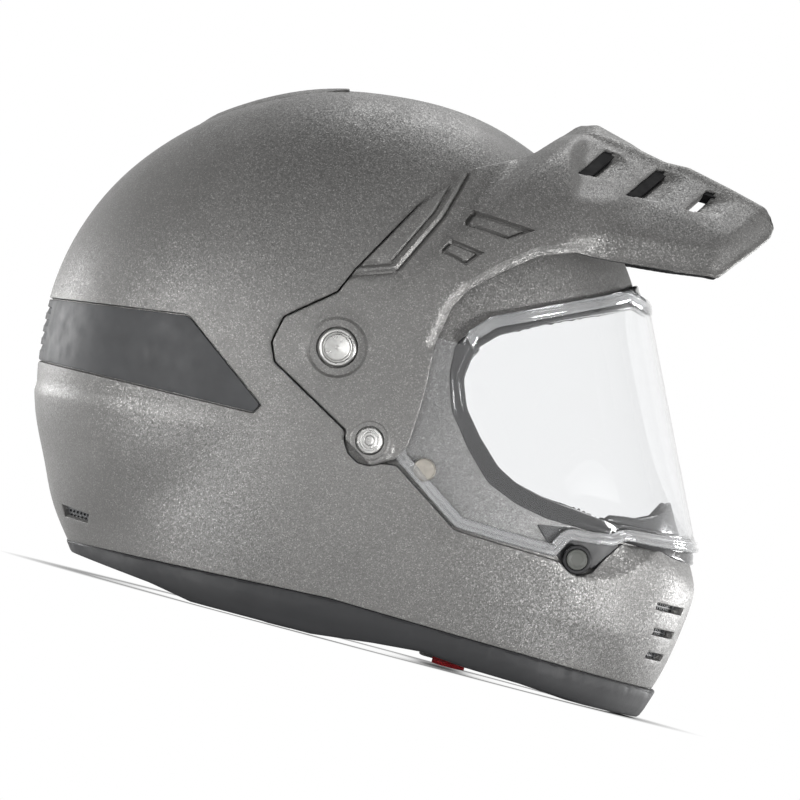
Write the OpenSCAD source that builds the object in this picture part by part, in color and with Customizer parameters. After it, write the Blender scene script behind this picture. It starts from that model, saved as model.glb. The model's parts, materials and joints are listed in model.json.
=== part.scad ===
// Full face helmet with a long peak, a clear hinged shield, side screws and a buckled chin strap.
// All sizes are in millimetres. +X is the way the wearer looks, +Y is the wearer's left, +Z is up.
// The origin is under the middle of the helmet, on the plane it stands on.

/* [Outer shell] */
// Half width of the painted shell at the shield pivot
shell_half_width = 124; // [118:1:130]
// Wall thickness of the painted shell
shell_wall = 4.2; // [3.8:0.1:5]
// How square the shell is, seen from the front and from above
shell_squareness = 2.25; // [2.15:0.05:2.4]
// Height of the pivot above the plane the helmet stands on
pivot_height = 144; // [144:0.5:150]
// How far the recess under the shield lies below the shell's outside, at the pivot
recess_depth = 8.2; // [7.6:0.1:8.8]
// Thickness of the dark rear panel
rear_panel_thickness = 1.8; // [1.4:0.1:2.2]
// Height of the low cover on the crown
crown_cover_height = 1.3; // [1:0.1:2]

/* [Shield] */
// Thickness of the clear shield
lens_thickness = 2.2; // [1.8:0.1:2.5]
// Gap between the recess and the inside of the shield, at the pivot
lens_gap = 1.6; // [1.4:0.1:1.9]
// Radius of the hub that the shield turns on
hub_radius = 14; // [12:0.5:15]
// Play of the shield's bore on its hub
hub_play = 0.06; // [0.03:0.01:0.1]
// Radius of the snap cap near the shield's lower rear corner
snap_radius = 5.9; // [5:0.1:6.4]

/* [Peak] */
// Wall thickness of the peak
peak_wall = 3.2; // [2.8:0.1:3.6]
// How far the peak's side plate stands out of the shell
plate_proud = 1; // [0.6:0.1:1.6]
// Radius of the large screw's head
big_screw_radius = 9.9; // [8.6:0.1:10.4]
// Radius of the small screw's head
small_screw_radius = 6.75; // [6:0.05:7.2]
// Depth of the three louvres on each side of the peak
louvre_depth = 5; // [3.5:0.5:6]
// Depth of the two marks pressed into each side arm
arm_mark_depth = 1.2; // [0.8:0.1:1.6]

/* [Liner] */
// Thickness of the foam liner
foam_thickness = 34; // [30:1:36]
// Thickness of the crown pad
crown_pad_thickness = 9; // [7:0.5:11]
// How far the cheek pads reach inwards from the foam
cheek_pad_depth = 30; // [24:1:34]
// Thickness of the rim's rubber edge, outside to inside
rim_width = 15; // [12:0.5:17]

/* [Latch] */
// Radius of the round shield latch button
button_radius = 5.25; // [4.6:0.05:5.6]
// How far the button can be pressed
button_travel = 1.5; // [1:0.1:1.8]

/* [Chin strap] */
// Width of the strap webbing
strap_width = 24; // [20:1:26]
// Thickness of the strap webbing
strap_thickness = 2.4; // [2:0.1:3]
// Thickness of the wire of the D rings
ring_wire = 3.6; // [3:0.1:4.2]

/* [Hidden] */

// Colours of the sub-parts
paint = [0.46, 0.46, 0.47];
satin = [0.13, 0.13, 0.14];
rubber = [0.1, 0.1, 0.1];
clear = [0.9, 0.92, 0.93, 0.35];
steel = [0.7, 0.7, 0.68];
foam = [0.16, 0.16, 0.17];
cloth = [0.09, 0.09, 0.1];
red = [0.8, 0.06, 0.08];

// Where the pivot is, from the origin
pivot_x = -27.5;
// The small gap left between pieces that must not rub
slack = 0.3;
fit = 0.03;
bite = 0.02;

// Angles round the pivot, from straight ahead and up, at which every skin is sampled
angles = [-90, -72, -56, -46, -40, -36, -31, -27, -23, -20, -17, -13, -7, 0, 8, 17, 26, 32,
  39, 46, 52, 57, 60, 67, 76, 86, 96, 106, 116, 126, 137, 148, 159, 170, 181, 192, 202,
  211, 219, 227, 234, 242, 254];
ring_steps = 7;
rings = [for (k = [1:ring_steps]) sin(90 * k / ring_steps)];

// The shell's outline in side view: angle and distance from the pivot
shell_outline = [[-90, 300], [-64, 288], [-45, 262], [-36, 243], [-32, 238], [-28, 232], [-24, 226.2],
  [-20, 220.2], [-17, 210.5], [-13, 196], [0, 171], [14, 160], [26, 154], [32, 153], [45, 147],
  [60, 141.3], [72, 137.8], [84, 134], [96, 131.6], [108, 131.6], [120, 131.9], [132, 133.6],
  [144, 136.6], [156, 140.8], [168, 144.8], [180, 148.5], [192, 151.6], [204, 156.2], [216, 160],
  [222, 166], [234, 171], [246, 205], [270, 300]];
// The shield's front line is straight in side view: its distance from the pivot and its slant
lens_line = 160.5;
lens_slant = 25.75;
lens_low = [[-90, 470], [-64, 420], [-42, 320], [-28, 240], [-18, 222]];
// The peak's side plates and arms
arm_outline = [[-90, 300], [-45, 264], [-36, 246], [-24, 230], [-13, 220], [0, 196], [14, 184],
  [26, 182], [38, 186], [45, 184], [52, 173], [57, 165.5], [60, 146], [66, 143.6], [72, 141.8],
  [84, 138], [96, 135.8], [108, 135.6], [144, 140.6], [180, 152.4], [216, 164], [234, 175], [270, 300]];
// The breath guard behind the shield
guard_outline = [[-90, 290], [-36, 232], [-28, 224], [-24, 218], [-20, 211], [-17, 204.5], [-13, 198.5],
  [0, 174], [14, 161], [26, 155], [90, 150], [180, 150], [270, 290]];

function part_of(k, a, i = 0) = (i >= len(k) - 2 || a < k[i + 1][0]) ? i : part_of(k, a, i + 1);
function rise(k, i) = (k[i + 1][1] - k[i][1]) / (k[i + 1][0] - k[i][0]);
function lean(k, i) = (i == 0 || i == len(k) - 1) ? 0 : let(d = rise(k, i - 1), e = rise(k, i))
  (d * e > 0 ? 2 * d * e / (d + e) : 0);
// Smooth reading of an outline at an angle, without overshoot
function reach(k, a) = let(i = part_of(k, a), h = k[i + 1][0] - k[i][0], t = (a - k[i][0]) / h,
  p = k[i][1], q = k[i + 1][1], m = lean(k, i) * h, n = lean(k, i + 1) * h)
  (2 * t * t * t - 3 * t * t + 1) * p + (t * t * t - 2 * t * t + t) * m
  + (3 * t * t - 2 * t * t * t) * q + (t * t * t - t * t) * n;
function lens_reach(a) = a < -18 ? reach(lens_low, a)
  : a > lens_slant ? (a > 250 ? 470 : lens_line) : lens_line / cos(a - lens_slant);

shell_r = [for (a = angles) reach(shell_outline, a)];
lens_r = [for (a = angles) lens_reach(a)];
arm_r = [for (a = angles) reach(arm_outline, a)];
guard_r = [for (a = angles) reach(guard_outline, a)];
function less(r, d) = [for (v = r) v - d];

// Layers at the pivot, measured from the middle of the helmet
floor_y = shell_half_width - recess_depth;
lens_in_y = floor_y + lens_gap;
lens_out_y = lens_in_y + lens_thickness;
plate_out_y = shell_half_width + plate_proud;
plate_in_y = plate_out_y - peak_wall;
base_radius = 22;
base_top_y = floor_y + 0.2;
base_low_y = base_top_y - 2;
hub_top_y = plate_in_y - 1;
screw_seat_y = plate_out_y - 2.6;
floor_r = less(lens_r, lens_thickness + lens_gap + 0.2);

floor_knots = [for (i = [0:len(angles) - 1]) [angles[i], floor_r[i]]];
lens_knots = [for (i = [0:len(angles) - 1]) [angles[i], lens_r[i]]];

squareness = shell_squareness;
function bulge(s) = pow(max(0, 1 - pow(s, squareness)), 1 / squareness);
// How wide a skin is at a place in side view
function skin_y(x, z, outline, w, d = 0) = let(a = atan2(z, x), b = a < -90 ? a + 360 : a)
  (w - d) * bulge(min(1, norm([x, z]) / (reach(outline, b) - d)));

// A closed rounded body from its outline in side view and its half width
module pillow(r, w) {
  n = len(angles);
  m = len(rings);
  side = [for (j = [0:m - 1]) for (i = [0:n - 1])
    [rings[j] * r[i] * cos(angles[i]), w * bulge(rings[j]), rings[j] * r[i] * sin(angles[i])]];
  back = [for (j = [m - 2:-1:0]) for (i = [0:n - 1])
    [rings[j] * r[i] * cos(angles[i]), -w * bulge(rings[j]), rings[j] * r[i] * sin(angles[i])]];
  points = concat([[0, w, 0]], side, back, [[0, -w, 0]]);
  last = len(points) - 1;
  function at(j, i) = 1 + j * n + i % n;
  polyhedron(points, concat(
    [for (i = [0:n - 1]) [0, at(0, i), at(0, i + 1)]],
    [for (j = [0:2 * m - 3]) for (i = [0:n - 1]) [at(j, i), at(j + 1, i), at(j + 1, i + 1)]],
    [for (j = [0:2 * m - 3]) for (i = [0:n - 1]) [at(j, i), at(j + 1, i + 1), at(j, i + 1)]],
    [for (i = [0:n - 1]) [at(2 * m - 2, i), last, at(2 * m - 2, i + 1)]]));
}

// Makes one moulded body of curved skins
module moulded() resize([0, 0, 0]) children();
module placed() translate([pivot_x, 0, pivot_height]) children();
module both() {
  children();
  mirror([0, 1, 0]) children();
}
// A side view outline, cut across the whole width
module across(points, grow = 0, half = 220) rotate([90, 0, 0]) linear_extrude(2 * half, center = true)
  offset(delta = grow) polygon(points);
// A round bar along Y on the left side, from one distance to another
module bar(x, z, r, y0, y1, sides = 32, turn = 0) translate([x, y1, z]) rotate([90, 0, 0])
  rotate(turn) cylinder(r = r, h = y1 - y0, $fn = sides);
// The same as a hole: its flats lie just outside a round bar of that radius
module hole(x, z, r, y0, y1, sides = 24)
  bar(x, z, (r + fit) / cos(180 / sides), y0, y1, sides, hole_turn);
// Keeps the corners of the holes off the lines of the curved skins
hole_turn = 7.65;

// Outlines in side view, from the pivot
eye_port = [[64.5, 17], [76, 31], [105, 46], [127, 56], [139, 64.5], [175, 92], [260, 120], [260, -57],
  [204, -57], [154, -55], [122, -53], [106, -49], [93, -42], [80, -29.5], [68, -15], [62.5, 1]];
gasket_hole = [[68.1, 16.9], [78.5, 27.6], [106.5, 42.4], [127.9, 52], [143, 58.5], [180, 78],
  [260, 110], [260, -50], [203, -51], [154, -50.5], [122, -47.2], [105.8, -43.5], [94.4, -37.6],
  [82.3, -26], [71.5, -13], [66.1, 1]];
gasket_edge = [[57.5, 17.5], [70, 34.5], [104, 51], [126, 61.5], [140, 70], [175, 92], [260, 120],
  [260, -62], [202, -60.5], [154, -58], [124.7, -57.2], [108, -54], [91, -47], [77, -33.2],
  [63.5, -15.8], [57.8, 2.6]];
below_rim = [[-220, -129], [-108, -130.4], [28, -123.8], [199, -128.5], [260, -131], [260, -400],
  [-220, -400]];
trim_band = [[-220, -129], [-108, -130.4], [28, -123.8], [199, -128.5], [260, -131], [260, -144],
  [168, -144], [140, -142], [108, -141], [82, -138.5], [56, -140.5], [24, -144], [-40, -144],
  [-63, -140], [-106, -136], [-220, -134]];
recess = [[-33.3, -5.9], [-30.4, 8.6], [-7.3, 27.6], [-1.5, 41], [20.3, 79.2], [38.8, 103.6], [56, 124],
  [90, 200], [300, 200], [300, -56.6], [205, -56.6], [167.2, -59.4], [164.6, -63.8], [154.6, -78],
  [146.6, -81.4], [139.6, -77.8], [134, -76.4], [105.3, -75.6], [80.8, -74.5], [73.9, -70.1],
  [44, -50.4], [36.6, -51.4], [31, -54.2], [24.5, -54.1], [18.5, -50.6], [15.2, -45.2], [14.4, -40],
  [-29.2, -15.4]];
lens_edge = [[61, 17.7], [62.6, 25.5], [72.2, 35.5], [89, 43.4], [123, 59.5], [136.8, 66.8],
  [147.2, 64.3], [170, 58.8], [235, -52.2], [204.5, -54.5], [167.2, -57.5], [161.4, -61.7],
  [149, -63.6], [139.6, -64.2], [137.4, -68.1], [134.2, -74.4], [105.3, -73.9], [81.2, -72.8],
  [74.8, -68.7], [42.6, -47], [38.5, -36], [30, -24], [12, -18], [0, -21.8], [-11, -19], [-19, -11],
  [-22, 0], [-19, 11], [-11, 19], [0, 21.8], [12, 18.4]];
plate_edge = [[-32.5, -5.4], [-29.7, 8], [-6.8, 26.8], [-0.8, 40.6], [21.1, 78.6], [39.9, 102.7],
  [44.6, 106.6], [67.2, 118.4], [72, 122.3], [89.5, 141.4], [99.3, 150], [205, 150], [200.7, 117.5],
  [179.7, 89.7], [176.7, 88.9], [154.4, 85], [129.1, 81.4], [105.6, 78.2], [87.1, 71.2],
  [70.5, 57.8], [57, 45], [51.5, 34.6], [47.6, 14], [48.6, -3.6], [48.6, -20], [47.4, -38.4],
  [42.9, -47.2], [31.6, -53.6], [15.7, -44], [15.1, -39.2], [-28.6, -14.8]];
panel_edge = [[-230, -13.4], [-149, -13.4], [-78.9, -3.9], [-75.6, -4.6], [-30.2, -38.2],
  [-32.7, -42.5], [-146, -44.9], [-230, -44.9]];
neck_slot = [[-115.7, -113.2], [-101, -114.4], [-100.4, -118.9], [-112.7, -118.7]];
foam_edge = [[-220, -98], [20, -98], [46, -60], [56, -20], [56, 18], [69, 36], [102, 53], [124, 64],
  [150, 82], [260, 160], [260, 260], [-220, 260]];
chin_foam_edge = [[118, -122], [120, -80], [140, -66], [170, -62], [260, -62], [260, -125], [199, -125]];
guard_edge = [[153, -50.1], [156, -46.8], [171.9, -45.1], [179, -41.6], [183.5, -33.1],
  [188, -41], [193, -48], [215, -49], [215, -50.2]];
latch_edge = [[120.7, -60.8], [129.7, -70.1], [138.5, -76], [145, -78], [151, -75.8], [155, -75.5],
  [163.8, -63.4], [163.6, -58.5], [140, -57.8]];
marks = [[[49, 85.2], [82.2, 83.2], [69.8, 74.7], [45.4, 76.6]],
  [[41.9, 67.9], [60, 65.6], [52.6, 56.8], [37, 60.2]]];
small_screw = [27.9, -41.4];
snap_place = [58.4, -48.6];
latch_place = [145, -73];
chin_slots = [[-85.5, 29, 57], [-98.5, 29, 53], [-111, 29, 49]];
strap_pivot = [92, -86];

// The space under the shield that is cut out of a skin lying a given depth inside the shell
module recess_space(depth = 0, grow = 0) difference() {
  across(recess, grow);
  pillow(less(floor_r, depth), floor_y - depth);
}
module skin(depth) difference() {
  pillow(less(shell_r, depth), shell_half_width - depth);
  recess_space(depth, depth);
}

// Painted outer shell
module shell() color(paint) placed() moulded() difference() {
  skin(0);
  skin(shell_wall);
  across(eye_port);
  across(below_rim);
  // Seat of the rear panel
  difference() {
    across(panel_edge, 0.8);
    pillow(less(shell_r, rear_panel_thickness), shell_half_width - rear_panel_thickness);
  }
  both() {
    hole(0, 0, base_radius, base_low_y, 140, 30);
    hole(0, 0, 5, 90, 140, 14);
    hole(small_screw[0], small_screw[1], 8, lower_seat_y, 140, 16);
    hole(small_screw[0], small_screw[1], 4, 90, 140, 12);
    hole(latch_place[0], latch_place[1], latch_r, 60, 140, 20);
    hole(snap_place[0], snap_place[1], 4.6, snap_floor_y, 140, 14);
    hole(strap_pivot[0], strap_pivot[1], 5.4, 60, strap_wall_y + 0.6, 14);
    neck_slot_space();
  }
  for (c = chin_slots) both() translate([190, c[1], c[0] - 1.8]) cube([60, c[2] - c[1], 3.6]);
}
lower_seat_y = floor_y - 2.2;
lower_nut_y = floor_y - shell_wall - 1;
latch_r = button_radius + 2.1;
module neck_slot_space() {
  intersection() {
    across(neck_slot);
    translate([-160, 10, -160]) cube([160, 100, 160]);
  }
  intersection() {
    across(neck_slot, 1.6);
    translate([-160, 10, -160]) cube([160, 100, 160]);
    pillow(less(shell_r, 2.4), shell_half_width - 2.4);
  }
}

// Dark panel that wraps round the back, with low louvres in the middle
module rear_panel() color(satin) placed() moulded() difference() {
  intersection() {
    across(panel_edge);
    pillow(less(shell_r, 0.2), shell_half_width - 0.2);
  }
  pillow(less(shell_r, rear_panel_thickness), shell_half_width - rear_panel_thickness);
  for (z = [-19, -25.5, -32, -38.5]) translate([-170, -30, z - 1.4])
    rotate([0, 20, 0]) cube([24.2, 60, 2.4]);
}

// Low cover on the crown, open towards the front
module crown_cover() color(paint) placed() moulded() difference() {
  intersection() {
    pillow(less(shell_r, -crown_cover_height), shell_half_width + crown_cover_height);
    linear_extrude(200) polygon([[-28, -16], [-28, 16], [-60, 22], [-92, 12], [-99, 0], [-92, -12],
      [-60, -22]]);
  }
  pillow(shell_r, shell_half_width);
}

// Rubber edge round the bottom, with the flat feet that the helmet stands on
module rim_trim() color(rubber) placed() moulded() difference() {
  intersection() {
    pillow(less(shell_r, -0.7), shell_half_width + 0.7);
    across(trim_band);
  }
  pillow(less(shell_r, rim_width), shell_half_width - rim_width);
}

// Rubber seal round the eye port
module eyeport_gasket() color(rubber) placed() moulded() difference() {
  intersection() {
    pillow(less(floor_r, -gasket_proud), floor_y + gasket_proud);
    across(gasket_edge);
  }
  across(gasket_hole);
  pillow(less(shell_r, shell_wall + 7), shell_half_width - shell_wall - 12);
  difference() {
    skin(-bite);
    across(eye_port, -bite);
  }
}
gasket_proud = lens_gap - 0.5;

// Meshed plates behind the chin slots
module chin_vent_grilles() color(satin) placed() moulded() both() difference() {
  intersection() {
    pillow(less(shell_r, shell_wall + bite), shell_half_width - shell_wall - bite);
    translate([150, 26, -114.6]) cube([80, 32, 32.8]);
  }
  pillow(less(shell_r, shell_wall + 1.4), shell_half_width - shell_wall - 1.4);
  for (c = chin_slots) for (k = [0:2]) translate([150, 30 + k * 8, c[0] - 1.2]) cube([80, 6.2, 2.4]);
}

// Meshed plates in the two low rear slots
module neck_vent_grilles() color(satin) placed() moulded() both() difference() {
  intersection() {
    across(neck_slot, 1.5);
    translate([-160, 10, -160]) cube([160, 100, 160]);
    pillow(less(shell_r, 2.4), shell_half_width - 2.4);
  }
  pillow(less(shell_r, 3.8), shell_half_width - 3.8);
  for (k = [0:3]) translate([-114.5 + 3.4 * k, 0, -117.6]) cube([1.9, 120, 2.8]);
}

// Soft guard that turns the breath away from the shield: a fin and a ledge on the seal, and a foot behind it
guard_from = 152;
gasket_low = -50.5;
module guard_foot(d) pillow(less(shell_r, shell_wall + 7 + slack + d),
  shell_half_width - shell_wall - 12 - slack - d);
module breath_guard() color(rubber) placed() moulded() difference() {
  union() {
    difference() {
      intersection() {
        pillow(guard_r, shell_half_width - shell_wall - 9);
        across(guard_edge);
      }
      intersection() {
        pillow(less(guard_r, 2.4), shell_half_width - shell_wall - 11.4);
        translate([100, -120, gasket_low + 2.9]) cube([160, 240, 60]);
      }
    }
    intersection() {
      guard_foot(0);
      translate([guard_from, -120, -62 + slack]) cube([100, 240, 62 + gasket_low + 1.2]);
    }
  }
  guard_foot(3);
}

foam_in = shell_wall + slack + foam_thickness;
// Crushable foam behind the shell
module foam_liner() color(foam) placed() moulded() difference() {
  intersection() {
    skin(shell_wall + slack);
    across(foam_edge);
  }
  pillow(less(shell_r, foam_in), shell_half_width - foam_in);
  both() {
    hole(0, 0, 11, floor_y - shell_wall - 6, 140, 16);
    // Opening that each cheek foam fits in
    cheek_outline(1, 1.3, 20);
  }
  // Air channel on the outside of the foam, along the middle
  difference() {
    translate([-140, -5, 60]) cube([220, 10, 90]);
    pillow(less(shell_r, shell_wall + 6), shell_half_width - shell_wall - 6);
  }
}

// Foam inside the chin bar
module chin_foam() color(foam) placed() moulded() difference() {
  intersection() {
    skin(shell_wall + 1.6);
    across(chin_foam_edge);
  }
  pillow(less(shell_r, shell_wall + 17), shell_half_width - shell_wall - 17);
  both() hole(latch_place[0], latch_place[1], latch_r + 1, latch_low_y - 1, 140, 16);
}

// A quilted sheet lying on the foam, from front to back and from side to side
quilt_u = 24;
quilt_v = 12;
function quilt_ridge(u, v) = let(e = min(u, 1 - u) * 9, f = min(v, 1 - v) * 7,
  edge = sqrt(max(0, 1 - pow(1 - min(1, e), 2))) * sqrt(max(0, 1 - pow(1 - min(1, f), 2))),
  lane = 1 - 0.42 * pow(abs(cos(180 * v * 3)), 6), row = 1 - 0.34 * pow(abs(cos(180 * u * 4)), 8))
  0.22 + 0.78 * edge * lane * row;
function quilt_point(u, v, d) = let(a = 24 + 152 * u, t = 40 + 100 * v, s = sin(t),
  r = reach(shell_outline, a) - d, w = shell_half_width - d)
  [s * r * cos(a), (t < 90 ? 1 : -1) * w * bulge(s), s * r * sin(a)];
module crown_pad_form() {
  nu = quilt_u;
  nv = quilt_v;
  d0 = foam_in + 0.8;
  top = [for (i = [0:nu]) for (j = [0:nv]) quilt_point(i / nu, j / nv, d0)];
  low = [for (i = [0:nu]) for (j = [0:nv]) let(u = i / nu, v = j / nv)
    quilt_point(u, v, d0 + crown_pad_thickness * quilt_ridge(u, v))];
  k = len(top);
  function at(i, j) = i * (nv + 1) + j;
  function lo(i, j) = k + at(i, j);
  polyhedron(concat(top, low), concat(
    [for (i = [0:nu - 1]) for (j = [0:nv - 1]) each [[at(i, j), at(i, j + 1), at(i + 1, j + 1)],
      [at(i, j), at(i + 1, j + 1), at(i + 1, j)]]],
    [for (i = [0:nu - 1]) for (j = [0:nv - 1]) each [[lo(i, j), lo(i + 1, j + 1), lo(i, j + 1)],
      [lo(i, j), lo(i + 1, j), lo(i + 1, j + 1)]]],
    [for (i = [0:nu - 1]) each [[at(i, 0), lo(i + 1, 0), lo(i, 0)], [at(i, 0), at(i + 1, 0), lo(i + 1, 0)],
      [at(i, nv), lo(i, nv), lo(i + 1, nv)], [at(i, nv), lo(i + 1, nv), at(i + 1, nv)]]],
    [for (j = [0:nv - 1]) each [[at(0, j), lo(0, j), lo(0, j + 1)], [at(0, j), lo(0, j + 1), at(0, j + 1)],
      [at(nu, j), lo(nu, j + 1), lo(nu, j)], [at(nu, j), at(nu, j + 1), lo(nu, j + 1)]]]));
}

module crown_pad() color(cloth) placed() moulded() crown_pad_form();

// One cheek pad: flat towards the shell, crowned and grooved towards the face
pad_spokes = 30;
pad_rings = [0.3, 0.66, 0.77, 0.83, 0.92, 1];
pad_centre = [13, -74];
function pad_place(q, b) = let(c = cos(b), s = sin(b),
  k = pow(pow(abs(c), 2.8) + pow(abs(s), 2.8), -1 / 2.8), u = 50 * k * c * q, v = 45 * k * s * q)
  [pad_centre[0] + u - 0.12 * v, pad_centre[1] + v - 0.1 * u];
pad_back_y = floor_y - 19;
function pad_swell(q) = q < 0.8 ? 1 - 0.16 * pow(q / 0.8, 3) - 0.2 * pow(max(0, 1 - abs(q - 0.8) / 0.09), 2)
  : 0.84 * sqrt(max(0, 1 - pow((q - 0.8) / 0.2, 2))) - 0.2 * pow(max(0, 1 - abs(q - 0.8) / 0.09), 2);
module cheek_pad() {
  n = pad_spokes;
  m = len(pad_rings);
  function outer(q, i) = let(p = pad_place(q * (q > 0.9 ? 0.975 : 1), 360 * i / n)) [p[0], pad_back_y, p[1]];
  function inner(q, i) = let(p = pad_place(q, 360 * i / n), o = pad_back_y)
    [p[0], o - 5 - (cheek_pad_depth - 5) * pad_swell(q) * (1 - 0.12 * (p[0] - pad_centre[0]) / 50), p[1]];
  points = concat([outer(0, 0)], [for (q = pad_rings) for (i = [0:n - 1]) outer(q, i)],
    [for (j = [m - 1:-1:0]) for (i = [0:n - 1]) inner(pad_rings[j], i)], [inner(0, 0)]);
  last = len(points) - 1;
  function at(j, i) = 1 + j * n + i % n;
  polyhedron(points, concat(
    [for (i = [0:n - 1]) [0, at(0, i), at(0, i + 1)]],
    [for (j = [0:2 * m - 2]) for (i = [0:n - 1]) each [[at(j, i), at(j + 1, i), at(j + 1, i + 1)],
      [at(j, i), at(j + 1, i + 1), at(j, i + 1)]]],
    [for (i = [0:n - 1]) [at(2 * m - 1, i), last, at(2 * m - 1, i + 1)]]));
}
// The cheek pad's outline, from one distance outwards
module cheek_outline(q, grow, from) translate([0, from, 0]) rotate([-90, 0, 0]) linear_extrude(130 - from)
  offset(delta = grow) polygon([for (i = [0:17]) let(p = pad_place(q, 20 * i)) [p[0], -p[1]]]);
module cheek_foam() difference() {
  intersection() {
    skin(shell_wall + slack);
    cheek_outline(0.97, 0, pad_back_y);
    across([[-60, -30], [90, -30], [90, -124.5], [-60, -127]]);
  }
  hole(small_screw[0], small_screw[1], 10, 90, 140, 16);
}
// Foam blocks that hold the cheek pads off the shell
module cheek_foam_left() color(foam) placed() moulded() cheek_foam();
module cheek_foam_right() color(foam) placed() moulded() mirror([0, 1, 0]) cheek_foam();
module cheek_pad_left() color(cloth) placed() moulded() cheek_pad();
module cheek_pad_right() color(cloth) placed() moulded() mirror([0, 1, 0]) cheek_pad();

// Padded roll round the back of the neck
roll_spans = 22;
roll_sides = 11;
roll_z = -114;
// Where a skin of the given depth is this wide, behind the pivot, by halving the distance
function rear_x(y, d, lo = -150, hi = 10, i = 0) = let(x = (lo + hi) / 2) i > 14 ? x
  : skin_y(x, roll_z, shell_outline, shell_half_width, d) > abs(y) ? rear_x(y, d, lo, x, i + 1)
  : rear_x(y, d, x, hi, i + 1);
function roll_centre(v) = let(y = 80 * sin(90 * v)) [rear_x(y, shell_wall + 12.3), y];
module neck_roll_form() {
  n = roll_sides;
  m = roll_spans;
  path = [for (j = [0:m]) roll_centre(2 * j / m - 1)];
  points = [for (j = [0:m]) let(p = path[j], q = path[min(m, j + 1)] - path[max(0, j - 1)],
      t = q / norm(q), e = min(j, m - j) / 3, k = sqrt(1 - pow(1 - min(1, 0.12 + e), 2)) *
      (1 - 0.1 * pow(abs(cos(180 * j / m * 4)), 6)))
    for (i = [0:n - 1]) let(c = cos(360 * i / n), s = sin(360 * i / n))
      [p[0] + t[1] * 11.5 * k * c, p[1] - t[0] * 11.5 * k * c, roll_z + 12.5 * k * s]];
  polyhedron(points, concat([[for (i = [n - 1:-1:0]) i]],
    [for (j = [0:m - 1]) for (i = [0:n - 1]) let(a = j * n + i, b = j * n + (i + 1) % n)
      each [[a, b + n, a + n], [a, b, b + n]]],
    [[for (i = [0:n - 1]) m * n + i]]));
}

module neck_roll() color(cloth) placed() moulded() neck_roll_form();

// Round plates that back the shield's arms
module shield_base_plates() color(satin) placed() both() difference() {
  bar(0, 0, base_radius, base_low_y, base_top_y, 48);
  bar(0, 0, 5, 90, 140);
}
// Hubs that the shield turns on
module pivot_hubs() color(satin) placed() both() difference() {
  bar(0, 0, hub_radius, base_top_y, hub_top_y, 64);
  bar(0, 0, 3.2, 90, 140, 24);
}
// Threaded inserts in the shell at the pivot
module pivot_nuts() color(steel) placed() both() difference() {
  bar(0, 0, 5, floor_y - shell_wall - 1.5, base_top_y);
  bar(0, 0, 3, 90, 140, 24);
}
// Threaded inserts in the shell at the lower screws
module lower_nuts() color(steel) placed() both() difference() {
  bar(small_screw[0], small_screw[1], 4, lower_nut_y - 1, lower_seat_y);
  bar(small_screw[0], small_screw[1], 2, 90, 140, 24);
}
// Large screws through the peak's plates, with a driving slot
module pivot_screws() color(steel) placed() both() difference() {
  union() {
    bar(0, 0, big_screw_radius, screw_seat_y, plate_out_y - 0.3, 64);
    bar(0, 0, 3, floor_y - shell_wall - 2, screw_seat_y + 0.1, 24);
  }
  bar(0, 0, 2.4, plate_out_y - 1.8, 140, 6);
  difference() {
    bar(0, 0, 6.6, plate_out_y - 0.7, 140, 48);
    bar(0, 0, 5.6, plate_out_y - 0.8, 141, 48);
  }
}
lower_plate_y = plate_out_y - 1.1;
lower_screw_seat_y = lower_plate_y - 2.2;
module lower_screws() color(steel) placed() both() difference() {
  union() {
    bar(small_screw[0], small_screw[1], small_screw_radius, lower_screw_seat_y, lower_plate_y - 0.2, 48);
    bar(small_screw[0], small_screw[1], 2, lower_nut_y - 1.6, lower_screw_seat_y + 0.1, 24);
  }
  bar(small_screw[0], small_screw[1], 2.1, lower_plate_y - 1.6, 140, 6);
  difference() {
    bar(small_screw[0], small_screw[1], 4.8, lower_plate_y - 0.6, 140, 40);
    bar(small_screw[0], small_screw[1], 4, lower_plate_y - 0.7, 141, 40);
  }
}

snap_floor_y = skin_y(snap_place[0], snap_place[1], floor_knots, floor_y) - 1.5;
snap_out_y = skin_y(snap_place[0], snap_place[1], lens_knots, lens_out_y);
// Low studs under the snap caps
module snap_studs() color(steel) placed() both() {
  bar(snap_place[0], snap_place[1], 4.6, snap_floor_y, snap_floor_y + 1.9);
}

latch_top_y = skin_y(latch_place[0], latch_place[1], shell_outline, shell_half_width) + 0.8;
latch_low_y = latch_top_y - 9;
// Black cups that hold the latch buttons
module latch_housings() color(satin) placed() both() difference() {
  bar(latch_place[0], latch_place[1], latch_r, latch_low_y, latch_top_y);
  bar(latch_place[0], latch_place[1], button_radius + 0.07, latch_top_y - 4.7 - button_travel, 140);
}
// Black plates round the cups, under the shield's lower edge
module latch_plates() color(satin) placed() moulded() difference() {
  intersection() {
    across(latch_edge);
    pillow(less(floor_r, -0.9), floor_y + 0.9);
  }
  pillow(floor_r, floor_y);
  across(eye_port, 0.1);
  both() hole(latch_place[0], latch_place[1], latch_r, 60, 140, 20);
}
module latch_button() difference() {
  bar(latch_place[0], latch_place[1], button_radius, latch_top_y - 4.2, latch_top_y + 0.9, 48);
  bar(latch_place[0], latch_place[1], button_radius - 1, latch_top_y + 0.6, 140, 48);
}
module latch_button_left() color(rubber) placed() latch_button();
module latch_button_right() color(rubber) placed() mirror([0, 1, 0]) latch_button();

// Clear shield with its two arms
module shield_lens() color(clear) placed() moulded() difference() {
  intersection() {
    pillow(lens_r, lens_out_y);
    across(lens_edge);
  }
  pillow(less(lens_r, lens_thickness), lens_in_y);
  both() {
    hole(0, 0, hub_radius + 2.2, 90, 140, 32);
    hole(snap_place[0], snap_place[1], 3, 90, 140, 16);
    hole(snap_place[0], snap_place[1], snap_radius + 0.4, snap_out_y - 0.7, 140, 24);
  }
}
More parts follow.
